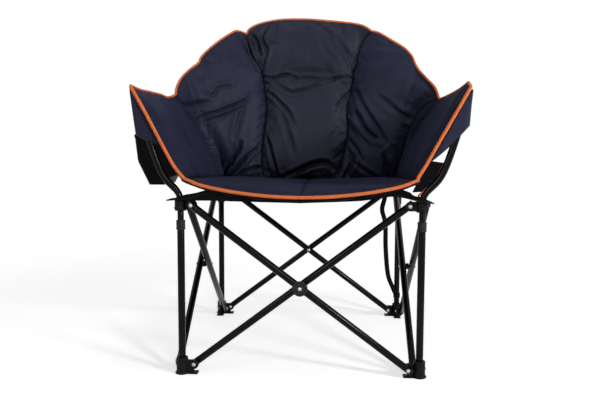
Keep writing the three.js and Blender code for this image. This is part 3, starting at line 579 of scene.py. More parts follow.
# The rim as the cloth hangs, drawn in at the seams and folds. Rows of station, then shares of half width and
# rise. One row of a pair ends a panel and the other starts the next, so the rim breaks there.
RIM_AS_HUNG = [
    [(0, -1.0, -0.018), (0.5, -1.032, -0.017), (1, -1.047, -0.005), (1.5, -1.041, -0.003), (1.8, -1.025, -0.015),
     (2, -0.989, 0.021)],
    [(2, -0.989, 0.021), (2.23, -0.998, 0.115), (2.54, -0.980, 0.235), (2.9, -0.930, 0.346), (3.23, -0.872, 0.438),
     (3.35, -0.862, 0.488), (3.58, -0.826, 0.563), (4.08, -0.730, 0.705), (4.53, -0.632, 0.818),
     (4.69, -0.593, 0.846), (5, -0.515, 0.817)],
    [(5, -0.515, 0.817), (5.12, -0.504, 0.868), (5.4, -0.446, 0.929), (5.8, -0.351, 0.978), (6.3, -0.229, 1.011),
     (7, -0.041, 1.017), (7.6, 0.132, 0.996), (8.2, 0.296, 0.964), (8.6, 0.401, 0.931), (8.9, 0.464, 0.883),
     (9, 0.488, 0.850)],
    [(9, 0.488, 0.850), (9.24, 0.550, 0.820), (9.66, 0.643, 0.726), (10.14, 0.747, 0.614), (10.46, 0.802, 0.514),
     (10.71, 0.827, 0.415), (10.92, 0.853, 0.340), (11.28, 0.907, 0.226), (11.64, 0.954, 0.118), (12, 0.970, -0.021)],
    [(12, 0.970, -0.021), (12.3, 0.996, -0.007), (13, 1.014, 0.017), (13.6, 1.001, 0.031), (13.85, 0.983, 0.024),
     (14, 0.979, -0.018)],
]
RIM_HOLD_POWER = 3

# The seams between the panels sway as they run down. Rows of height share, then station.
SEAMS = [
    [(0, 1.75), (0.2, 1.9), (0.4, 2.03), (0.7, 2.03), (1, 2)],
    [(0, 4.5), (0.12, 4.55), (0.3, 4.85), (0.48, 5.2), (0.7, 5.25), (0.85, 5.02), (1, 5)],
    [(0, 8.65), (0.2, 8.75), (0.32, 8.75), (0.45, 8.57), (0.6, 8.57), (0.75, 8.62), (0.88, 8.75), (1, 9)],
    [(0, 12), (0.16, 11.95), (0.4, 11.5), (0.55, 11.42), (0.75, 11.52), (0.9, 11.78), (1, 12)],
]


def stations_round(shares, half, depth, low, rise):
    """The points of both sides from the shares of one."""
    left = [Vector((-x * half, CENTRE_Y + BASE_FRONT + y * depth, low + z * rise)) for x, y, z in shares]
    return left + [Vector((-p.x, p.y, p.z)) for p in reversed(left[:-1])]


base_stations = stations_round(BASE_SHARES, BASE_HALF, BASE_DEPTH, SEAT_Z, SEAT_SAG)
rim_stations = stations_round(RIM_SHARES, BASE_HALF + ARM_FLARE, BASE_DEPTH + BACK_LEAN, ARM_Z, BACK_RISE)


def clamp(share):
    return min(max(share, 0), 1)


def ease(a, b, leave, arrive, t):
    """A cubic from a to b, numbers or vectors, with its slopes at both ends."""
    return ((2 * t**3 - 3 * t**2 + 1) * a + (t**3 - 2 * t**2 + t) * leave
            + (3 * t**2 - 2 * t**3) * b + (t**3 - t**2) * arrive)


def along(stations, u):
    """A point a share of the way round a smooth line through the stations."""
    place = clamp(u) * (len(stations) - 1)
    i = min(int(place), len(stations) - 2)
    t = place - i
    a, b = stations[i], stations[i + 1]
    before = stations[i - 1] if i else 2 * a - b
    after = stations[i + 2] if i + 2 < len(stations) else 2 * b - a
    return ease(a, b, (b - before) / 2, (after - a) / 2, t)


def smooth(rows, place):
    """The values of a smooth line through rows of a place and its values."""
    last = len(rows) - 1
    i = max([k for k in range(last) if rows[k][0] <= place], default=0)
    step = rows[i + 1][0] - rows[i][0]
    t = clamp((place - rows[i][0]) / step)
    values = []
    for a, b, before, after in zip(rows[i], rows[i + 1], rows[max(i - 1, 0)], rows[min(i + 2, last)]):
        leave = (b - before) / (rows[i + 1][0] - rows[max(i - 1, 0)][0]) * step
        arrive = (after - a) / (rows[min(i + 2, last)][0] - rows[i][0]) * step
        values.append(ease(a, b, leave, arrive, t))
    return values[1:]


# The front edge of the left arm bulges a little low down, and that of the right arm is drawn in
EDGE_BULGE = {-1: 0.006, 1: -0.005}
BULGE_STATIONS, BULGE_POWER = 1.3, 0.5


def wall_point(u, v):
    """The wall's middle surface: u runs round it and v up it, from the seat to the rim."""
    rim = along(rim_stations, u)
    station = clamp(u) * STATIONS
    part = next((rows for rows in RIM_AS_HUNG if station < rows[-1][0]), RIM_AS_HUNG[-1])
    out, up = smooth(part, station)
    hung = Vector((out * (BASE_HALF + ARM_FLARE) - rim.x, 0, ARM_Z + up * BACK_RISE - rim.z))
    belly = BACK_BELLY * math.sin(math.pi * u) ** 2 * math.sin(math.pi * clamp(v))
    side = -1 if u < 0.5 else 1
    near = max(0, 1 - min(station, STATIONS - station) / BULGE_STATIONS) ** 2
    bulge = EDGE_BULGE[side] * near * math.sin(math.pi * clamp(v) ** BULGE_POWER)
    wall = along(base_stations, u).lerp(rim, v) + Vector((side * bulge, belly, 0))
    return wall + hung * max(v, 0) ** RIM_HOLD_POWER


def wall_normal(u, v):
    """The wall's outward direction, away from the sitter."""
    round_it = wall_point(u + CHORD_SHARE, v) - wall_point(u - CHORD_SHARE, v)
    up_it = wall_point(u, v + CHORD_SHARE) - wall_point(u, v - CHORD_SHARE)
    return up_it.cross(round_it).normalized()


def between(first, last, steps):
    """Even steps from one number to another, both ends included."""
    return [first + (last - first) * i / steps for i in range(steps + 1)]


def crown(share, power=CROWN_POWER):
    """The rounded swell of a stuffed panel: zero at both ends and one in the middle."""
    return math.sqrt(max(0.0, 1 - abs(2 * share - 1) ** power))


BORDER = 0.001


def two_skins(columns, rows, place, chart=None):
    """A closed form of two grids sewn at their borders. place(a, b, skin) puts each point, skin 0 inside, and
    chart(a, b) gives its place on the wall, which is kept with the mesh. Returns the form and its sewn points."""
    form = bmesh.new()
    for skin in (0, 1):
        for vert in bmesh.ops.create_grid(form, x_segments=columns, y_segments=rows, size=0.5)["verts"]:
            vert.co.z = skin
    bmesh.ops.bridge_loops(form, edges=[e for e in form.edges if e.is_boundary])
    uv = form.loops.layers.uv.new("cloth")
    wall = form.loops.layers.uv.new("wall") if chart else None
    seams = []
    corners = [place(a, b, 0) for a, b in ((0, 0), (1, 0), (0, 1))]
    wide, high = (corners[1] - corners[0]).length, (corners[2] - corners[0]).length
    for bm_face in form.faces:
        for loop in bm_face.loops:
            a, b = loop.vert.co.x + 0.5, loop.vert.co.y + 0.5
            loop[uv].uv = (a * wide, b * high)
            if chart:
                loop[wall].uv = chart(a, b)
    for vert in form.verts:
        a, b, skin = vert.co.x + 0.5, vert.co.y + 0.5, round(vert.co.z)
        if min(a, b, 1 - a, 1 - b) < BORDER:
            seams.append(vert.index)
        vert.co = place(clamp(a), clamp(b), skin)
    return form, seams


# Each panel's seams, the columns and rows of its grid, its body and its kind
PANELS = {
    "arm_panel_left": (None, 0, 50, 36, "front_left_upper", "arm"),
    "back_wing_left": (0, 1, 52, 80, "rear_left_upper", "wing"),
    "back_panel": (1, 2, 72, 100, "rear_left_upper", "back"),
    "back_wing_right": (2, 3, 52, 80, "rear_right_upper", "wing"),
    "arm_panel_right": (3, None, 50, 36, "front_right_upper", "arm"),
}


def seam_at(seam, v, open_edge):
    """The share of the way round of a seam at a height, or of the open edge where there is none."""
    return open_edge if seam is None else smooth(SEAMS[seam], v)[0] / STATIONS


# How far each kind swells towards the sitter, and the channel sewn across the back under the headrest
CROWN_IN = {"arm": 0.011, "wing": 0.019, "back": 0.021}
CROWN_OUT = 0.004
HEADREST_CHANNEL, CHANNEL_WIDTH, CHANNEL_DRAWN = 0.63, 0.045, 0.45
SEAM_LAP, FOOT_LAP = 0.005, 0.014
DYE_CLOUD_MM, CRUMPLE_MM = 111.1, 29.41
# Painted shade: how strongly the cloth darkens where the mesh says, and the near-black navy it darkens to
PAINTED_SHADE_STRENGTH, PAINTED_SHADE_COLOUR = 0.85, "#05060c"
# A wave texture of this scale has bands a millimetre apart
WAVE_PER_MM = 1000 * 2 * math.pi / 20


def woven_polyester(name, dark, light, thread_mm, on, crumple=1.0, sheen=0.01, gloss=0.08, rough=0.45):
    """Plain-woven cloth: crossing threads, a cloudy dye, fine crumples, a soft gloss and painted shade from the mesh.
    """
    material, tree = start_material(name, dark, Roughness=rough, Sheen_Weight=sheen, Sheen_Roughness=0.4,
                                    Specular_IOR_Level=gloss)
    place = add_node(tree, "ShaderNodeTexCoord").outputs[on]
    threads = []
    for direction in ("X", "Y"):
        wave = add_node(tree, "ShaderNodeTexWave", {"bands_direction": direction},
                        {"Vector": place, "Scale": WAVE_PER_MM / thread_mm, "Distortion": 0.6, "Detail": 1.0})
        threads.append(wave.outputs["Fac"])
    weave = add_node(tree, "ShaderNodeMath", {"operation": "MULTIPLY"}, {0: threads[0], 1: threads[1]})
    solid = add_node(tree, "ShaderNodeTexCoord").outputs["Object"]
    cloud = add_node(tree, "ShaderNodeTexNoise", inputs={"Vector": solid, "Scale": 1000 / DYE_CLOUD_MM,
                                                        "Detail": 6.0, "Roughness": 0.6})
    shade = add_node(tree, "ShaderNodeMath", {"operation": "MULTIPLY_ADD"},
                     {0: weave.outputs[0], 1: 0.1, 2: cloud.outputs["Fac"]})
    ramp = add_node(tree, "ShaderNodeMapRange",
                    inputs={"Value": shade.outputs[0], "From Min": 0.35, "From Max": 0.95})
    tint = add_node(tree, "ShaderNodeMix", {"data_type": "RGBA"},
                    {0: ramp.outputs["Result"], 6: from_hex(dark), 7: from_hex(light)})
    # Painted shade: a value kept on the mesh darkens the colour in seams and creases and at a panel's foot
    painted_shade = add_node(tree, "ShaderNodeAttribute", {"attribute_name": "painted_shade"}).outputs["Fac"]
    depth = add_node(tree, "ShaderNodeMath", {"operation": "MULTIPLY", "use_clamp": True},
                     {0: painted_shade, 1: PAINTED_SHADE_STRENGTH})
    shaded = add_node(tree, "ShaderNodeMix", {"data_type": "RGBA"},
                      {0: depth.outputs[0], 6: tint.outputs[2], 7: from_hex(PAINTED_SHADE_COLOUR)})
    crease = add_node(tree, "ShaderNodeTexNoise",
                      inputs={"Vector": solid, "Scale": 1000 / CRUMPLE_MM, "Detail": 5.0, "Roughness": 0.55,
                              "Distortion": 0.8})
    rumple = add_node(tree, "ShaderNodeBump",
                      inputs={"Height": crease.outputs["Fac"], "Strength": 0.35 * crumple, "Distance": 0.004})
    bump = add_node(tree, "ShaderNodeBump", inputs={"Height": weave.outputs[0], "Strength": 0.1,
                                                   "Distance": 0.0003, "Normal": rumple.outputs["Normal"]})
    return finish_material(material, Base_Color=shaded.outputs[2], Normal=bump.outputs["Normal"])


# The threads are drawn about twice as coarse as real ones, which would be too fine to show
THREAD_MM = 0.9
navy = woven_polyester("navy_polyester", "#26283d", "#35374d", THREAD_MM, "UV")
# The back panel is the same navy cloth drawn greyer and a little lighter: painted light, for its sheen where it is
# lit
lit_navy = woven_polyester("lit_navy_polyester", "#282a3a", "#37394a", THREAD_MM, "UV")
# The arms and the seat rub against the sitter, so their cloth is matt; its colours are a little darker: painted shade
matt_shaded_navy = woven_polyester("matt_shaded_navy_polyester", "#24263b", "#323449", THREAD_MM, "UV", gloss=0.03, rough=0.75)
PANEL_CLOTH = {"arm": matt_shaded_navy, "wing": navy, "back": lit_navy}

stuffed = []
for node, (seam_from, seam_to, columns, rows, body, kind) in PANELS.items():
    def chart(a, b, seam_from=seam_from, seam_to=seam_to):
        start, end = seam_at(seam_from, b, 0), seam_at(seam_to, b, 1)
        return start + ((1 + 2 * SEAM_LAP) * a - SEAM_LAP) * (end - start), b - FOOT_LAP * (1 - b)

    def on_wall(a, b, skin, kind=kind, chart=chart):
        u, v = chart(a, b)
        drawn = 1.0
        if kind == "back":
            drawn -= CHANNEL_DRAWN * math.exp(-(((b - HEADREST_CHANNEL) / CHANNEL_WIDTH) ** 2))
        depth = (CROWN_OUT if skin else CROWN_IN[kind]) * crown(a) * crown(b) * drawn
        return wall_point(u, v) + wall_normal(u, v) * (SEWN / 2 + depth) * (1 if skin else -1)

    form, seams = two_skins(columns, rows, on_wall, chart)
    panel = stand_for(f"{node}_padding", form, PANEL_CLOTH[kind], None, "navy_padding", node, sharp=180)
    stuffed.append({"piece": panel, "body": body, "seams": seams, "kind": kind, "node": node})


# Seat. Two padded halves that meet on the middle line, where the seat folds up, on a black polyester sling.
# The front edge bows down between the corners, and its rolled front shows below the piping.
SEAT_EDGE_GAP, SEAT_MIDDLE_GAP, SEAT_REAR_ROUND, SEAT_FRONT_LIP = -0.006, -0.003, 0.008, 0.010
SEAT_CROWN_UP, SEAT_CROWN_DOWN, SEAT_THICK = 0.007, 0.007, 0.009
REAR_MIDDLE_SHARE, REAR_SIDE_SHARE = 0.25, 0.15
SLING_THICK = 0.0025
# How much thinner the outer front corner is, and how quickly that ends on the way in and back
CORNER_THINNED, THINNED_ACROSS, THINNED_BACK = 0.85, 6, 8
LINING_THREAD_MM = 1.8


def seat_point(side, a, b, lift, swell):
    """A point of one seat half: a runs out from the middle line and b back from the front edge."""
    front = BASE_FRONT - SEAT_FRONT_LIP
    x = SEAT_MIDDLE_GAP / 2 + a * (BASE_HALF - SEAT_EDGE_GAP - SEAT_MIDDLE_GAP / 2)
    bow = (x / BASE_HALF) ** 2
    rear = BASE_FRONT + BASE_DEPTH - SEAT_EDGE_GAP - SEAT_REAR_ROUND * bow
    rise = (1 - b) * bow + b * (REAR_MIDDLE_SHARE + REAR_SIDE_SHARE * bow)
    lift *= 1 - CORNER_THINNED * a**THINNED_ACROSS * (1 - b) ** THINNED_BACK
    height = SEAT_Z + SEAT_SAG * rise + lift + swell * crown((a + 1) / 2) * crown(b)
    return Vector((side * x, CENTRE_Y + front + b * (rear - front), height))


# The sling and the pouch are a flat, coarse lining cloth with hardly any shine
lining = woven_polyester("black_lining_polyester", "#08080a", "#101014", LINING_THREAD_MM, "Object",
                         crumple=0.6, sheen=0.0, gloss=0.04)
for name, side in (("left", -1), ("right", 1)):
    def on_seat(a, b, skin, side=side):
        lift, swell = (-SEAT_THICK, -SEAT_CROWN_DOWN) if skin else (0, SEAT_CROWN_UP)
        return seat_point(side, a, b, lift, swell)

    def on_sling(a, b, skin, side=side):
        lift = -SEAT_THICK - CLEARANCE - (SLING_THICK if skin else 0)
        return seat_point(side, a, b, lift, -SEAT_CROWN_DOWN)

    form, seams = two_skins(44, 70, on_seat)
    node = f"seat_pad_{name}"
    seat = stand_for(f"seat_{name}_padding", form, matt_shaded_navy, None, "navy_padding", node, sharp=180)
    stuffed.append({"piece": seat, "body": f"seat_{name}", "seams": seams, "kind": "seat", "node": node})
    form, _ = two_skins(20, 30, on_sling)
    sling = stand_for(f"seat_{name}_sling", form, lining, f"seat_{name}", "black_cloth", f"seat_sling_{name}")


# Stuffing. The foam pushes both skins of every panel out against its sewn edges, all in one short run of
# the cloth solver. The cloth is gathered into the seam along the seat, where it puckers most.
STUFFING = {
    "arm": {"pressure": 1.6, "slack": 0.015, "gathered": 0.03, "reach": 0.007},
    "wing": {"pressure": 2.2, "slack": 0.03, "gathered": 0.14, "reach": 0.012},
    "back": {"pressure": 2.2, "slack": 0.03, "gathered": 0.14, "reach": 0.012},
    "seat": {"pressure": 1.0, "slack": 0.015, "gathered": 0.015, "reach": 0.006},
}
PADDED_CLOTH = {"quality": 4, "mass": 0.25, "vertex_group_mass": "sewn", "use_pressure": True,
                "tension_stiffness": 14, "compression_stiffness": 14, "shear_stiffness": 6,
                "bending_stiffness": 0.15}
SOLVER_FRAMES = 20
GATHER_REACH = 0.16


def hang_cloth(pad):
    """Sets a panel up for the cloth solver, held by its seams and pressed out from inside."""
    piece, recipe = pad["piece"], STUFFING[pad["kind"]]
    held = piece.vertex_groups.new(name="sewn")
    held.add(pad["seams"], 1.0, "REPLACE")
    gathered = piece.vertex_groups.new(name="gathered")
    chart = piece.data.uv_layers.get("wall")
    if chart:
        for loop, place in zip(piece.data.loops, chart.uv):
            gathered.add([loop.vertex_index], math.exp(-((place.vector.y / GATHER_REACH) ** 2)), "REPLACE")
    cloth = piece.modifiers.new("stuffing", "CLOTH")
    cloth.point_cache.frame_end = SOLVER_FRAMES
    for key, value in {
            **PADDED_CLOTH, "uniform_pressure_force": recipe["pressure"], "shrink_min": -recipe["slack"],
            "shrink_max": -recipe["gathered"], "vertex_group_shrink": "gathered"}.items():
        setattr(cloth.settings, key, value)
    cloth.settings.effector_weights.gravity = 0


def settle(piece, reach):
    """Keeps the cloth solver's result, with no point moved further than its reach."""
    start = [v.co.copy() for v in piece.data.vertices]
    solved = piece.evaluated_get(bpy.context.evaluated_depsgraph_get()).data
    moved = [v.co.copy() for v in solved.vertices]
    piece.modifiers.clear()
    piece.vertex_groups.clear()
    for vert, a, b in zip(piece.data.vertices, start, moved):
        step = b - a
        far = step.length
        vert.co = a + step * (reach * math.tanh(far / reach) / far if far > 0 else 0)


for pad in stuffed:
    hang_cloth(pad)
for count in range(1, SOLVER_FRAMES + 1):
    scene.frame_set(count)
for pad in stuffed:
    settle(pad["piece"], STUFFING[pad["kind"]]["reach"])
scene.frame_set(0)


# Creases. Folds that the sitter and the packing have set in the cloth, each drawn in along a line on the wall
# and raised beside it. Rows of depth and half width in millimetres, then points of station and height share.
CREASES = {
    "back_wing_left": [
        (6, 5, [(2.17, 0.68), (3.03, 0.59), (3.77, 0.55), (4.33, 0.55), (4.59, 0.60)]),
        (4, 4, [(2.50, 0.59), (3.23, 0.53), (3.95, 0.51), (4.41, 0.53)]),
        (6, 9, [(2.03, 0.86), (2.38, 0.78), (2.90, 0.69)]),
        (4, 6, [(2.90, 0.82), (3.10, 0.72), (3.47, 0.72), (4.07, 0.67)]),
        (3, 6, [(3.29, 1.0), (3.51, 0.92), (3.84, 0.88)]),
        (9, 6, [(2.0, 0.01), (2.90, 0.14), (3.56, 0.23), (3.74, 0.28)]),
        (9, 6, [(2.45, 0.01), (3.31, 0.11), (3.90, 0.17), (4.40, 0.21)]),
        (8, 6, [(3.00, 0.01), (3.52, 0.06), (4.12, 0.08), (4.47, 0.08)]),
        (4, 8, [(4.30, 0.54), (3.95, 0.44), (3.53, 0.33)]),
        (8, 5, [(4.92, 0.99), (5.0, 0.88), (5.08, 0.80)]),
        (7, 5, [(4.74, 0.95), (4.86, 0.85), (5.03, 0.73)]),
    ],
    "back_panel": [
        (8, 5, [(5.15, 0.97), (5.34, 0.89), (5.35, 0.80)]),
        (7, 6, [(5.87, 0.98), (5.58, 0.93), (5.50, 0.89), (5.60, 0.82), (5.34, 0.74)]),
        (4, 6, [(5.60, 0.88), (5.83, 0.85), (6.02, 0.85)]),
        (6, 5, [(5.30, 0.67), (5.70, 0.64), (6.20, 0.645), (6.60, 0.62)]),
        (5, 6, [(6.30, 0.61), (6.91, 0.62), (7.51, 0.61), (8.17, 0.64), (8.58, 0.66)]),
        (6, 6, [(5.65, 0.63), (6.00, 0.57), (6.33, 0.53), (6.71, 0.54), (7.38, 0.58), (7.85, 0.61)]),
        (4, 8, [(7.01, 0.99), (7.41, 0.96), (7.67, 0.91), (7.75, 0.86)]),
        (4, 8, [(7.87, 0.89), (8.18, 0.82), (8.44, 0.77), (8.60, 0.70)]),
        (3, 8, [(7.44, 0.85), (7.62, 0.79), (7.96, 0.72)]),
        (6, 6, [(5.30, 0.58), (5.80, 0.48), (6.15, 0.41), (6.38, 0.33)]),
        (5, 6, [(8.56, 0.58), (8.32, 0.51), (8.01, 0.43)]),
        (3, 6, [(7.65, 0.21), (8.10, 0.29), (8.40, 0.35)]),
        (11, 8, [(5.6, 0.01), (6.2, 0.035), (6.55, 0.055), (7.13, 0.085), (7.85, 0.10), (8.25, 0.07)]),
        (6, 6, [(4.95, 0.28), (5.1, 0.15), (5.2, 0.02)]),
        (5, 9, [(5.87, 0.38), (6.13, 0.24), (6.28, 0.14)]),
    ],
    "back_wing_right": [
        (5, 8, [(9.02, 0.45), (9.45, 0.36), (9.97, 0.31), (10.31, 0.31)]),
        (5, 8, [(8.89, 0.58), (9.46, 0.47), (10.12, 0.37), (10.62, 0.30)]),
        (6, 7, [(9.53, 0.11), (10.05, 0.06), (10.76, 0.01)]),
        (4, 9, [(9.84, 0.59), (10.38, 0.57), (10.98, 0.58), (11.33, 0.61)]),
        (5, 7, [(8.90, 0.26), (9.35, 0.21), (9.71, 0.13)]),
        (8, 8, [(9.1, 0.02), (9.3, 0.12), (9.35, 0.18)]),
        (8, 8, [(11.3, 0.02), (11.0, 0.12), (10.7, 0.2)]),
    ],
    "arm_panel_left": [
        (3, 8, [(1.9, 0.79), (1.8, 0.50), (1.32, 0.17)]),
        (3, 9, [(1.14, 0.88), (1.05, 0.55), (0.73, 0.22)]),
    ],
    "arm_panel_right": [
        (4, 7, [(12.04, 0.80), (11.93, 0.59), (12.2, 0.3)]),
        (3, 9, [(12.91, 0.47), (13.16, 0.23), (13.49, 0.04)]),
    ],
}
CREASE_STEPS = 5
RIDGE_SHARE, RIDGE_AT = 0.5, 2.0
# A crease runs out at both ends: the part of a half wave that its depth follows. It also fades at the wall's edges.
TAPER_FROM, TAPER_SPAN, EDGE_FADE = 0.12, 0.76, 0.03
RUMPLES = [(0.0016, 11), (0.0007, 34)]
# Painted shade: how near a seam, how far up from the seat as a share of the wall, and the crease depth of full shade
SEAM_SHADE_REACH, FOOT_SHADE_REACH, FULL_SHADE_DEPTH = 0.006, 0.035, 0.011


def off_line(point, line):
    """How far a point is from a line of points, and the share of the way along that it is nearest to."""
    best = (math.inf, 0)
    for i, (a, b) in enumerate(zip(line, line[1:])):
        run = b - a
        t = clamp((point - a).dot(run) / run.length_squared)
        best = min(best, ((point - a - run * t).length, (i + t) / (len(line) - 1)))
    return best


def set_creases(pad):
    """Draws the creases and a slight rumple into the side of a panel that faces the sitter, and notes how much
    painted
    shade each place gets: along the seams, and on the side that faces the sitter also at its foot and in the grooves."""
    mesh = pad["piece"].data
    painted_shades = mesh.attributes.new("painted_shade", "FLOAT", "POINT").data
    seams = [seam for seam in PANELS.get(pad["node"], ())[:2] if seam is not None]
    chart = mesh.uv_layers.get("wall")
    places = {}
    for loop, place in zip(mesh.loops, chart.uv) if chart else ():
        places[loop.vertex_index] = place.vector
    creases = []
    for deep_mm, wide_mm, points in CREASES.get(pad["node"], []):
        rows = [(i, *point) for i, point in enumerate(points)]
        run = [smooth(rows, t) for t in between(0, len(points) - 1, CREASE_STEPS * (len(points) - 1))]
        line = [wall_point(s / STATIONS, v) for s, v in run]
        reach = wide_mm / 1000 * (RIDGE_AT + 2)
        low = Vector([min(p[k] for p in line) - reach for k in range(3)])
        high = Vector([max(p[k] for p in line) + reach for k in range(3)])
        creases.append((deep_mm / 1000, wide_mm / 1000, line, low, high))
    normals = [vert.normal.copy() for vert in mesh.vertices]
    for vert, normal in zip(mesh.vertices, normals):
        inward = -normal.x * vert.co.x - normal.y * (vert.co.y - CENTRE_Y)
        painted_shade, lift = 0, 0
        if chart:
            u, v = places[vert.index]
            point = wall_point(u, v)
            # Painted shade along the seams, on both skins
            for seam in seams:
                away = (point - wall_point(seam_at(seam, v, 0), v)).length
                painted_shade += math.exp(-((away / SEAM_SHADE_REACH) ** 2))
            painted_shades[vert.index].value = painted_shade
        if (inward if chart else normal.z) < 0:
            continue
        if chart:
            # Painted shade at the panel's foot and down in the crease grooves
            painted_shade += math.exp(-((max(v, 0) / FOOT_SHADE_REACH) ** 2))
            for deep, wide, line, low, high in creases:
                if any(point[k] < low[k] or point[k] > high[k] for k in range(3)):
                    continue
                away, share = off_line(point, line)
                taper = math.sin(math.pi * (TAPER_FROM + TAPER_SPAN * share))
                groove = math.exp(-((away / wide) ** 2))
                ridge = math.exp(-(((away - RIDGE_AT * wide) / wide) ** 2))
                lift += deep * taper * (RIDGE_SHARE * ridge - groove)
                painted_shade += groove * taper * deep / FULL_SHADE_DEPTH
            lift *= min(1, min(v, 1 - v) / EDGE_FADE)
            painted_shades[vert.index].value = min(1, painted_shade)
        for tall, scale in RUMPLES:
            lift += tall * noise.noise(vert.co * scale)
        vert.co += normal * lift
    mesh.update()


# When the chair folds, the legs come together to about a quarter of their spacing. Each panel's row gives the way
# that it runs round the tub and the leg that carries it, but nothing is crumpled here.
REAR_Y, FRONT_Y = CENTRE_Y + LEG_HALF, CENTRE_Y - LEG_HALF
FOLDS = {
    "arm_panel_left": ((0, 1, 0), (-LEG_HALF, FRONT_Y, 0)),
    "arm_panel_right": ((0, 1, 0), (LEG_HALF, FRONT_Y, 0)),
    "back_wing_left": ((0.74, 0.67, 0), (-LEG_HALF, REAR_Y, 0)),
    "back_wing_right": ((-0.74, 0.67, 0), (LEG_HALF, REAR_Y, 0)),
    "back_panel": ((1, 0, 0), (-LEG_HALF, REAR_Y, 0)),
    "seat_pad_left": ((0, 1, 0), (-LEG_HALF, FRONT_Y, 0)),
    "seat_pad_right": ((0, 1, 0), (LEG_HALF, FRONT_Y, 0)),
}


def fold_up(piece, node):
    """Gives a piece its own copy of its mesh and looks up its panel's fold, which is not applied."""
    axis, anchor = FOLDS[node]
    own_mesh(piece)
    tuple(axis)
    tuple(anchor)


for pad in stuffed:
    subdivide(pad["piece"])
    set_creases(pad)
    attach(pad["piece"], pad["body"])
    fold_up(pad["piece"], pad["node"])
for name in ("left", "right"):
    fold_up(bpy.data.objects[f"seat_{name}_sling"], f"seat_pad_{name}")


# Orange piping. A cord in bias-cut cloth, sewn into the seat's front edge and all along the rim, a length to
# each panel, with its ends tucked into the seams.
RIM_PIPING_RADIUS, EDGE_PIPING_RADIUS = 0.0039, 0.0045
PIPING_STEPS, PIPING_SIDES = 60, 12
CORNER_CUT, CORNER_REACH = 0.005, 0.030
# How suddenly the seat's rolled front ends at the arm
LIP_END_POWER = 6
TWILL_MM, SOIL_MM = 6.98, 33.33


def loft(rings):
    """A closed form with a skin through rings of equal counts."""
    form = bmesh.new()
    made = [[form.verts.new(p) for p in ring] for ring in rings]
    for low, high in zip(made, made[1:]):
        for i in range(len(low)):
            j = (i + 1) % len(low)
            form.faces.new((low[i], low[j], high[j], high[i]))
    form.faces.new(reversed(made[0]))
    form.faces.new(made[-1])
    return form


def sweep(points, section, up=(0, 0, 1)):
    """A closed section, given as pairs across and up, carried along a line of points."""
    rings = []
    normal = Vector(up)
    for i, point in enumerate(points):
        run = (points[min(i + 1, len(points) - 1)] - points[max(i - 1, 0)]).normalized()
        normal = (normal - run * normal.dot(run)).normalized()
        beside = run.cross(normal)
        rings.append([point + beside * a + normal * b for a, b in section])
    return loft(rings)


def circle(radius, sides=PIPING_SIDES):
    turns = [2 * math.pi * i / sides for i in range(sides)]
    return [(radius * math.cos(t), radius * math.sin(t)) for t in turns]


def piping_cloth():
    """Matt orange cloth cut on the bias, with slanting ribs and a little soil. The ribs are drawn several times too
    wide, because real ones would be too fine to show."""
    material, tree = start_material("orange_bias_binding", "#f07a34", Roughness=0.62, Specular_IOR_Level=0.3)
    place = add_node(tree, "ShaderNodeTexCoord").outputs["Object"]
    twill = add_node(tree, "ShaderNodeTexWave", {"bands_direction": "DIAGONAL"},
                     {"Vector": place, "Scale": WAVE_PER_MM / TWILL_MM, "Distortion": 0.5})
    soil = add_node(tree, "ShaderNodeTexNoise", inputs={"Vector": place, "Scale": 1000 / SOIL_MM, "Detail": 5.0})
    tint = add_node(tree, "ShaderNodeMix", {"data_type": "RGBA"},
                    {0: soil.outputs["Fac"], 6: from_hex("#f78a42"), 7: from_hex("#e0642a")})
    bump = add_node(tree, "ShaderNodeBump",
                    inputs={"Height": twill.outputs["Fac"], "Strength": 0.3, "Distance": 0.0003})
    return finish_material(material, Base_Color=tint.outputs[2], Normal=bump.outputs["Normal"])


def cut_corner(point, side):
    """Draws a point of the front piping in across the corner where the arm rises from the seat."""
    near = (point - wall_point(0 if side < 0 else 1, 0)).length / CORNER_REACH
    return point + Vector((-side, 0, 1)).normalized() * CORNER_CUT * math.exp(-(near**2))


orange = piping_cloth()
for node, (seam_from, seam_to, _, _, body, _) in PANELS.items():
    lap = between(seam_at(seam_from, 1, 0), seam_at(seam_to, 1, 1), PIPING_STEPS)
    line = sweep([wall_point(u, 1) + Vector((0, 0, RIM_PIPING_RADIUS / 2)) for u in lap], circle(RIM_PIPING_RADIUS))
    fold_up(stand_for(f"{node}_rim_piping", line, orange, body, "orange_piping", sharp=60), node)

# The two lengths along the front meet in a rounded corner where an arm rises from the seat
for name, side in (("left", -1), ("right", 1)):
    set_forward = Vector((0, EDGE_PIPING_RADIUS / 2, 0))
    arm_line = [cut_corner(wall_point(0 if side < 0 else 1, v) - set_forward, side)
                for v in between(0, 1, PIPING_STEPS)]
    seat_line = []
    for a in between(0, 1, PIPING_STEPS):
        point = seat_point(side, a, 0, -EDGE_PIPING_RADIUS / 2, 0)
        point.y = CENTRE_Y + BASE_FRONT - EDGE_PIPING_RADIUS / 2 - SEAT_FRONT_LIP * (1 - a**LIP_END_POWER)
        seat_line.append(cut_corner(point, side))
    seat_line[-1] = arm_line[0]
    for label, points, body, node in (("arm", arm_line, f"front_{name}_upper", f"arm_panel_{name}"),
                                      ("seat", seat_line, f"seat_{name}", f"seat_pad_{name}")):
        line = sweep(points, circle(EDGE_PIPING_RADIUS), up=(0, 1, 0))
        fold_up(stand_for(f"{label}_edge_piping_{name}", line, orange, body, "orange_piping", sharp=60), node)


# Front band. The black sling's front edge is sewn round a band of webbing that runs from bracket to bracket, shows
# below the piping and ends in a point over each bracket. Rows of place out, then lower and upper edge, in mm.
FRONT_BANDS = {
    "left": [(0, 452, 468), (150, 455, 476), (228, 457, 486), (268, 457, 477), (296, 456, 472), (320, 457, 464)],
    "right": [(0, 452, 468), (150, 459, 476), (200, 466, 484), (235, 471, 492), (275, 465, 483), (285, 463, 474.5),
              (303, 457, 471), (320, 455, 463)],
}
BAND_SETBACK, BAND_THICK = 0.006, 0.0025
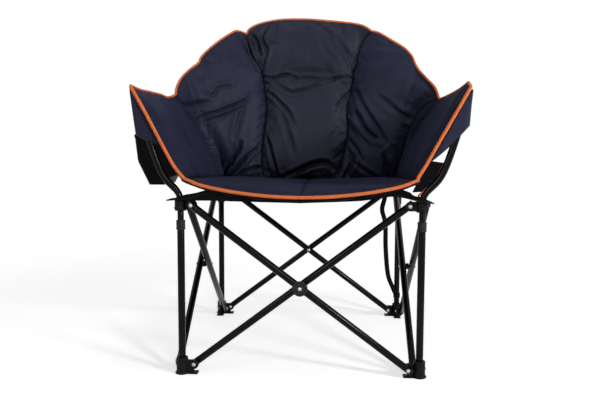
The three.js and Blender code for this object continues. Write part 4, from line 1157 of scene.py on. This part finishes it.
# The band swings back to the bracket, ever faster, until it is this far out
BRACKET_FROM, SWING_POWER = 0.28, 3
for name, side in (("left", -1), ("right", 1)):
    rows = FRONT_BANDS[name]
    bracket_front = FRONT_Y - SOCKET_RADIUS - BAND_THICK
    seat_front = CENTRE_Y + BASE_FRONT + BAND_SETBACK

    def on_band(a, b, skin, side=side, rows=rows, seat_front=seat_front, bracket_front=bracket_front):
        out = a * rows[-1][0]
        low, high = smooth(rows, out)
        back = min(1, out / 1000 / BRACKET_FROM) ** SWING_POWER
        y = seat_front + (bracket_front - seat_front) * back + (skin - 0.5) * BAND_THICK
        return Vector((side * out / 1000, y, (low + (high - low) * b) / 1000))

    form, _ = two_skins(60, 6, on_band)
    band = stand_for(f"sling_front_band_{name}", form, lining, f"front_{name}_upper", "black_cloth", sharp=60)
    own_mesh(band)


# Arm flaps and the cloth below them. Each flap is a navy pocket over the top of the arm post, sewn along the
# arm's outer side, and a thin black gusset closes the gap between the seat's corner and the foot of the post.
FLAP_TO, FLAP_SLUMP = 0.97, 0.006
FLAP_SEWN, FLAP_POWER = 0.002, 7
# Where a flap's lower outer corner and its tip hang, out from the middle and up, and how far up the arm its seam
# starts
FLAP_HEELS = {"left": (0.424, 0.625), "right": (0.424, 0.650)}
FLAP_TIPS = {"left": (0.437, 0.743), "right": (0.430, 0.741)}
FLAP_STARTS = {"left": 0.36, "right": 0.17}
# Where each gusset starts and ends up the arm, how far its lowest corner is tucked in and down, and its outer
# edge as points out from the middle and up
GUSSETS = {
    "left": (0.06, 0.42, 0, 0, [(0.341, 0.514), (0.366, 0.556), (0.392, 0.598)]),
    "right": (0, 0.22, 0.018, 0.028, [(0.3105, 0.483), (0.3175, 0.4915), (0.3365, 0.5113), (0.3465, 0.527),
                                      (0.36, 0.557)]),
}
GUSSET_THICK, GUSSET_TUCK_POWER = 0.003, 3
# The binding's radius at its foot and where it is narrow, its first point, and how soon it is narrow
GUSSET_LINE_FOOT, GUSSET_LINE_TOP, GUSSET_LINE_FROM, GUSSET_LINE_TAPER = 0.0034, 0.0014, (0.299, 0.4715), 1.6
GUSSET_LINE_SIDES = 10
ARM_HALF_SEWN = 0.004


def outer_side(side, v, out=0.0, drop=0.0):
    """A point beside the arm's outer face at the plane of the arm post."""
    p = wall_point(0 if side < 0 else 1, v)
    return Vector((side * (abs(p.x) + ARM_HALF_SEWN + out), FRONT_Y, p.z - drop))


for name, side in (("left", -1), ("right", 1)):
    flap_low, flap_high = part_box(f"arm_flap_{name}")
    depth = (flap_high.y - flap_low.y) / 2
    (heel_out, heel_up), (tip_out, tip_up) = FLAP_HEELS[name], FLAP_TIPS[name]
    tip = Vector((side * tip_out, FRONT_Y, tip_up))
    heel = Vector((side * heel_out, FRONT_Y, heel_up))

    def on_flap(a, b, skin, side=side, depth=depth, tip=tip, heel=heel, seam_start=FLAP_STARTS[name]):
        inner = outer_side(side, seam_start + b * (FLAP_TO - seam_start))
        outer = heel.lerp(tip, b)
        swell = FLAP_SEWN / 2 + (depth - FLAP_SEWN / 2) * crown(a, FLAP_POWER) * crown(b, FLAP_POWER)
        slump = Vector((0, 0, -FLAP_SLUMP * math.sin(math.pi * a) * (1 - b)))
        return inner.lerp(outer, a) + slump + Vector((0, -swell if skin == 0 else swell, 0))

    form, _ = two_skins(28, 40, on_flap)
    stand_for(f"arm_flap_{name}_cloth", form, navy, f"front_{name}_upper", "navy_padding",
                        f"arm_flap_{name}", sharp=50)

    gusset_from, gusset_to, tuck, drop, points = GUSSETS[name]
    outer_edge = [Vector((side * out, FRONT_Y, up)) for out, up in points]

    def on_gusset(a, b, skin, side=side, edge=outer_edge, start=gusset_from, end=gusset_to, tuck=tuck, drop=drop):
        low = (1 - b) ** GUSSET_TUCK_POWER
        inner = outer_side(side, start + b * (end - start), out=-tuck * low, drop=drop * low)
        return inner.lerp(along(edge, b), a) + Vector((0, (skin - 0.5) * GUSSET_THICK, 0))

    form, _ = two_skins(8, 24, on_gusset)
    gusset = stand_for(f"side_gusset_{name}_cloth", form, lining, f"front_{name}_upper", "black_cloth",
                       f"side_gusset_{name}", sharp=50)

# The binding of the right gusset shows as an orange line that widens down to the bracket
rearward = Vector((0, 1, 0))
foot = Vector((GUSSET_LINE_FROM[0], FRONT_Y, GUSSET_LINE_FROM[1]))
run = [along([foot] + outer_edge, t) for t in between(0, 1, PIPING_STEPS)]
rings = []
for i, point in enumerate(run):
    narrowed = min(1, GUSSET_LINE_TAPER * i / PIPING_STEPS)
    radius = GUSSET_LINE_FOOT + (GUSSET_LINE_TOP - GUSSET_LINE_FOOT) * narrowed
    way = (run[min(i + 1, len(run) - 1)] - run[max(i - 1, 0)]).normalized()
    beside = way.cross(rearward).normalized()
    rings.append([point + radius * (beside * x + rearward * y) for x, y in circle(1, GUSSET_LINE_SIDES)])
stand_for("side_gusset_right_binding", loft(rings), orange, "front_right_upper", "orange_piping", sharp=60)


# Cup pocket. A black pouch on the outside of the left arm, open at the top, with a bound mouth and a thin
# orange piping down its front seam.
POCKET_CORNER, CORNER_STEPS = 0.012, 4
POCKET_WALL, POCKET_BACK_WALL = 0.0022, 0.007
MOUTH_SHARE, LOW_SHARE = 0.48, 0.15
# How far out the pouch is half way down and at its foot
POCKET_WAIST, POCKET_HALF_DROP = 0.059, 0.068
BASE_IN, BASE_OUT = 0.056, 0.100
POCKET_LEVELS = 18
BINDING_DROP, BINDING_HALF, BINDING_ABOVE, BINDING_BELOW = 0.003, 0.0024, 0.004, 0.005
SEAM_PIPING_RADIUS, SEAM_PIPING_SIDES = 0.0012, 8
FRONT_INNER_CORNER = 3

pocket_low, pocket_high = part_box("cup_pocket")
mouth_at = outer_side(-1, MOUTH_SHARE)
crook_at = outer_side(-1, LOW_SHARE)


def broken_line(points, z):
    """The X of a line through (x, z) points, at a height."""
    points = sorted(points, key=lambda p: p[1])
    for (x0, z0), (x1, z1) in zip(points, points[1:]):
        if z <= z1:
            return x0 + (x1 - x0) * max(0, (z - z0) / (z1 - z0))
    return points[-1][0]


def pocket_ring(z, shrink, back):
    """Points round the pouch at a height, shrunk by its wall, and by more at its back beside the arm."""
    inner = broken_line([(BASE_HALF + BASE_IN, pocket_low.z), (abs(crook_at.x), crook_at.z),
                         (abs(mouth_at.x), mouth_at.z)], z) + back
    outer = broken_line([(BASE_HALF + BASE_OUT, pocket_low.z), (abs(mouth_at.x) + POCKET_WAIST,
                        mouth_at.z - POCKET_HALF_DROP), (-pocket_low.x, mouth_at.z)], z) - shrink
    front, rear = pocket_low.y + shrink, pocket_high.y - shrink
    ring = []
    for x, y, start in ((outer, front, -90), (outer, rear, 0), (inner, rear, 90), (inner, front, 180)):
        radius = min(POCKET_CORNER, (outer - inner) / 3)
        centre = (x + (-radius if x == outer else radius), y + (radius if y == front else -radius))
        for step in range(CORNER_STEPS + 1):
            turn = math.radians(start + step * 90 / CORNER_STEPS)
            ring.append(Vector((-centre[0] - radius * math.cos(turn), centre[1] + radius * math.sin(turn), z)))
    return ring


levels = between(pocket_low.z, pocket_high.z, POCKET_LEVELS)
outside = [pocket_ring(z, 0, 0) for z in levels]
inside = [pocket_ring(z, POCKET_WALL, POCKET_BACK_WALL) for z in reversed(levels[1:])]
pocket = stand_for("cup_pocket_cloth", loft(outside + inside), lining, "front_left_upper", "black_cloth",
                   "cup_pocket", sharp=60)
lip = pocket_ring(pocket_high.z - BINDING_DROP, POCKET_WALL / 2, POCKET_WALL / 2)
binding = sweep(lip + lip[:1], [(BINDING_HALF, BINDING_ABOVE), (-BINDING_HALF, BINDING_ABOVE),
                                (-BINDING_HALF, -BINDING_BELOW), (BINDING_HALF, -BINDING_BELOW)])
stand_for("cup_pocket_binding", binding, lining, "front_left_upper", "black_cloth", sharp=30)
seam_point = FRONT_INNER_CORNER * (CORNER_STEPS + 1) + CORNER_STEPS // 2
line = sweep([ring[seam_point] for ring in outside], circle(SEAM_PIPING_RADIUS, SEAM_PIPING_SIDES), up=(0, 1, 0))
stand_for("cup_pocket_piping", line, orange, "front_left_upper", "orange_piping", sharp=60)


# Webbing. A black tab over each upper bracket ties the sling to the frame, and the carry strap hangs from the
# rear right corner and loops round the leg tube.
WEB_BEVEL, TAB_EDGE_ANGLE = 0.0007, 0.6
WEB_RIB_MM = 12.08
STRAP_HALF_WIDTH, STRAP_HALF_THICK = 0.0085, 0.0009
STRAP_BOW, STRAP_AHEAD = 0.056, 0.012
STRAP_SHARES = [(0.79, 1), (0.86, 0.88), (1, 0.78), (0.79, 0.65), (0.75, 0.44), (0.59, 0.2), (0.29, 0.08), (0.04, 0)]
STRAP_STEPS, LOOP_STEPS = 80, 40
LOOP_GAP, STRAP_TURN = 0.0004, math.radians(58)
# How far each tab's end is drawn in and droops, for its length past the bracket
TAB_DROOPS = {"front_left": (0.2, 0.19), "front_right": (0.45, 0.34), "rear_right": (0.2, 0.2),
              "rear_left": (0.2, 0.2)}


def webbing():
    """Coarse black webbing with a dull, ribbed face. The ribs are drawn several times too wide, because real ones
    would be too fine to show."""
    material, tree = start_material("polypropylene_webbing", "#0c0c0e", Roughness=0.6, Specular_IOR_Level=0.08)
    place = add_node(tree, "ShaderNodeTexCoord").outputs["Object"]
    ribs = [add_node(tree, "ShaderNodeTexWave", {"bands_direction": direction},
                     {"Vector": place, "Scale": WAVE_PER_MM / WEB_RIB_MM, "Distortion": 0.3}).outputs["Fac"]
            for direction in ("X", "Y", "Z")]
    pair = add_node(tree, "ShaderNodeMath", {"operation": "MULTIPLY"}, {0: ribs[0], 1: ribs[1]})
    height = add_node(tree, "ShaderNodeMath", {"operation": "ADD"}, {0: pair.outputs[0], 1: ribs[2]})
    tint = add_node(tree, "ShaderNodeMix", {"data_type": "RGBA"},
                    {0: height.outputs[0], 6: from_hex("#08080a"), 7: from_hex("#151517")})
    bump = add_node(tree, "ShaderNodeBump",
                    inputs={"Height": height.outputs[0], "Strength": 0.4, "Distance": 0.0004})
    return finish_material(material, Base_Color=tint.outputs[2], Normal=bump.outputs["Normal"])


web = webbing()
for corner, (drawn_in, droop) in TAB_DROOPS.items():
    tab = copied(f"corner_tab_{corner}")
    for vert in tab.verts:
        beyond = max(0, abs(vert.co.x) - LEG_HALF - SOCKET_RADIUS)
        vert.co += Vector((-math.copysign(beyond * drawn_in, vert.co.x), 0, -beyond * droop))
    break_edges(tab, [e for e in tab.edges if e.calc_face_angle(0) > TAB_EDGE_ANGLE], WEB_BEVEL)
    stand_for(f"corner_tab_{corner}_webbing", tab, web, f"{corner}_upper", "black_cloth", f"corner_tab_{corner}")

strap_low, strap_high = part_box("carry_strap")
loop_at = strap_low.z + STRAP_HALF_WIDTH
strap_route = [Vector((LEG_HALF - inwards * STRAP_BOW, CENTRE_Y + LEG_HALF - STRAP_AHEAD,
                       loop_at + up * (strap_high.z - loop_at))) for inwards, up in STRAP_SHARES]
strap_line = [along(strap_route, t) for t in between(0, 1, STRAP_STEPS)]
flat_web = [(STRAP_HALF_THICK, STRAP_HALF_WIDTH), (-STRAP_HALF_THICK, STRAP_HALF_WIDTH),
            (-STRAP_HALF_THICK, -STRAP_HALF_WIDTH), (STRAP_HALF_THICK, -STRAP_HALF_WIDTH)]
turned = [(x * math.cos(STRAP_TURN) - y * math.sin(STRAP_TURN), x * math.sin(STRAP_TURN) + y * math.cos(STRAP_TURN))
          for x, y in flat_web]
strap = sweep(strap_line, turned, up=(0, 1, 0))
stand_for("carry_strap_webbing", strap, web, "rear_right_upper", "black_cloth", "carry_strap", sharp=30)
loop_radius = TUBE_RADIUS + LOOP_GAP + STRAP_HALF_THICK
turns = [Vector((LEG_HALF + loop_radius * math.cos(t), CENTRE_Y + LEG_HALF + loop_radius * math.sin(t), loop_at))
         for t in between(0, 2 * math.pi, LOOP_STEPS)]
stand_for("carry_strap_loop", sweep(turns, flat_web), web, "rear_right_upper", "black_cloth", sharp=30)
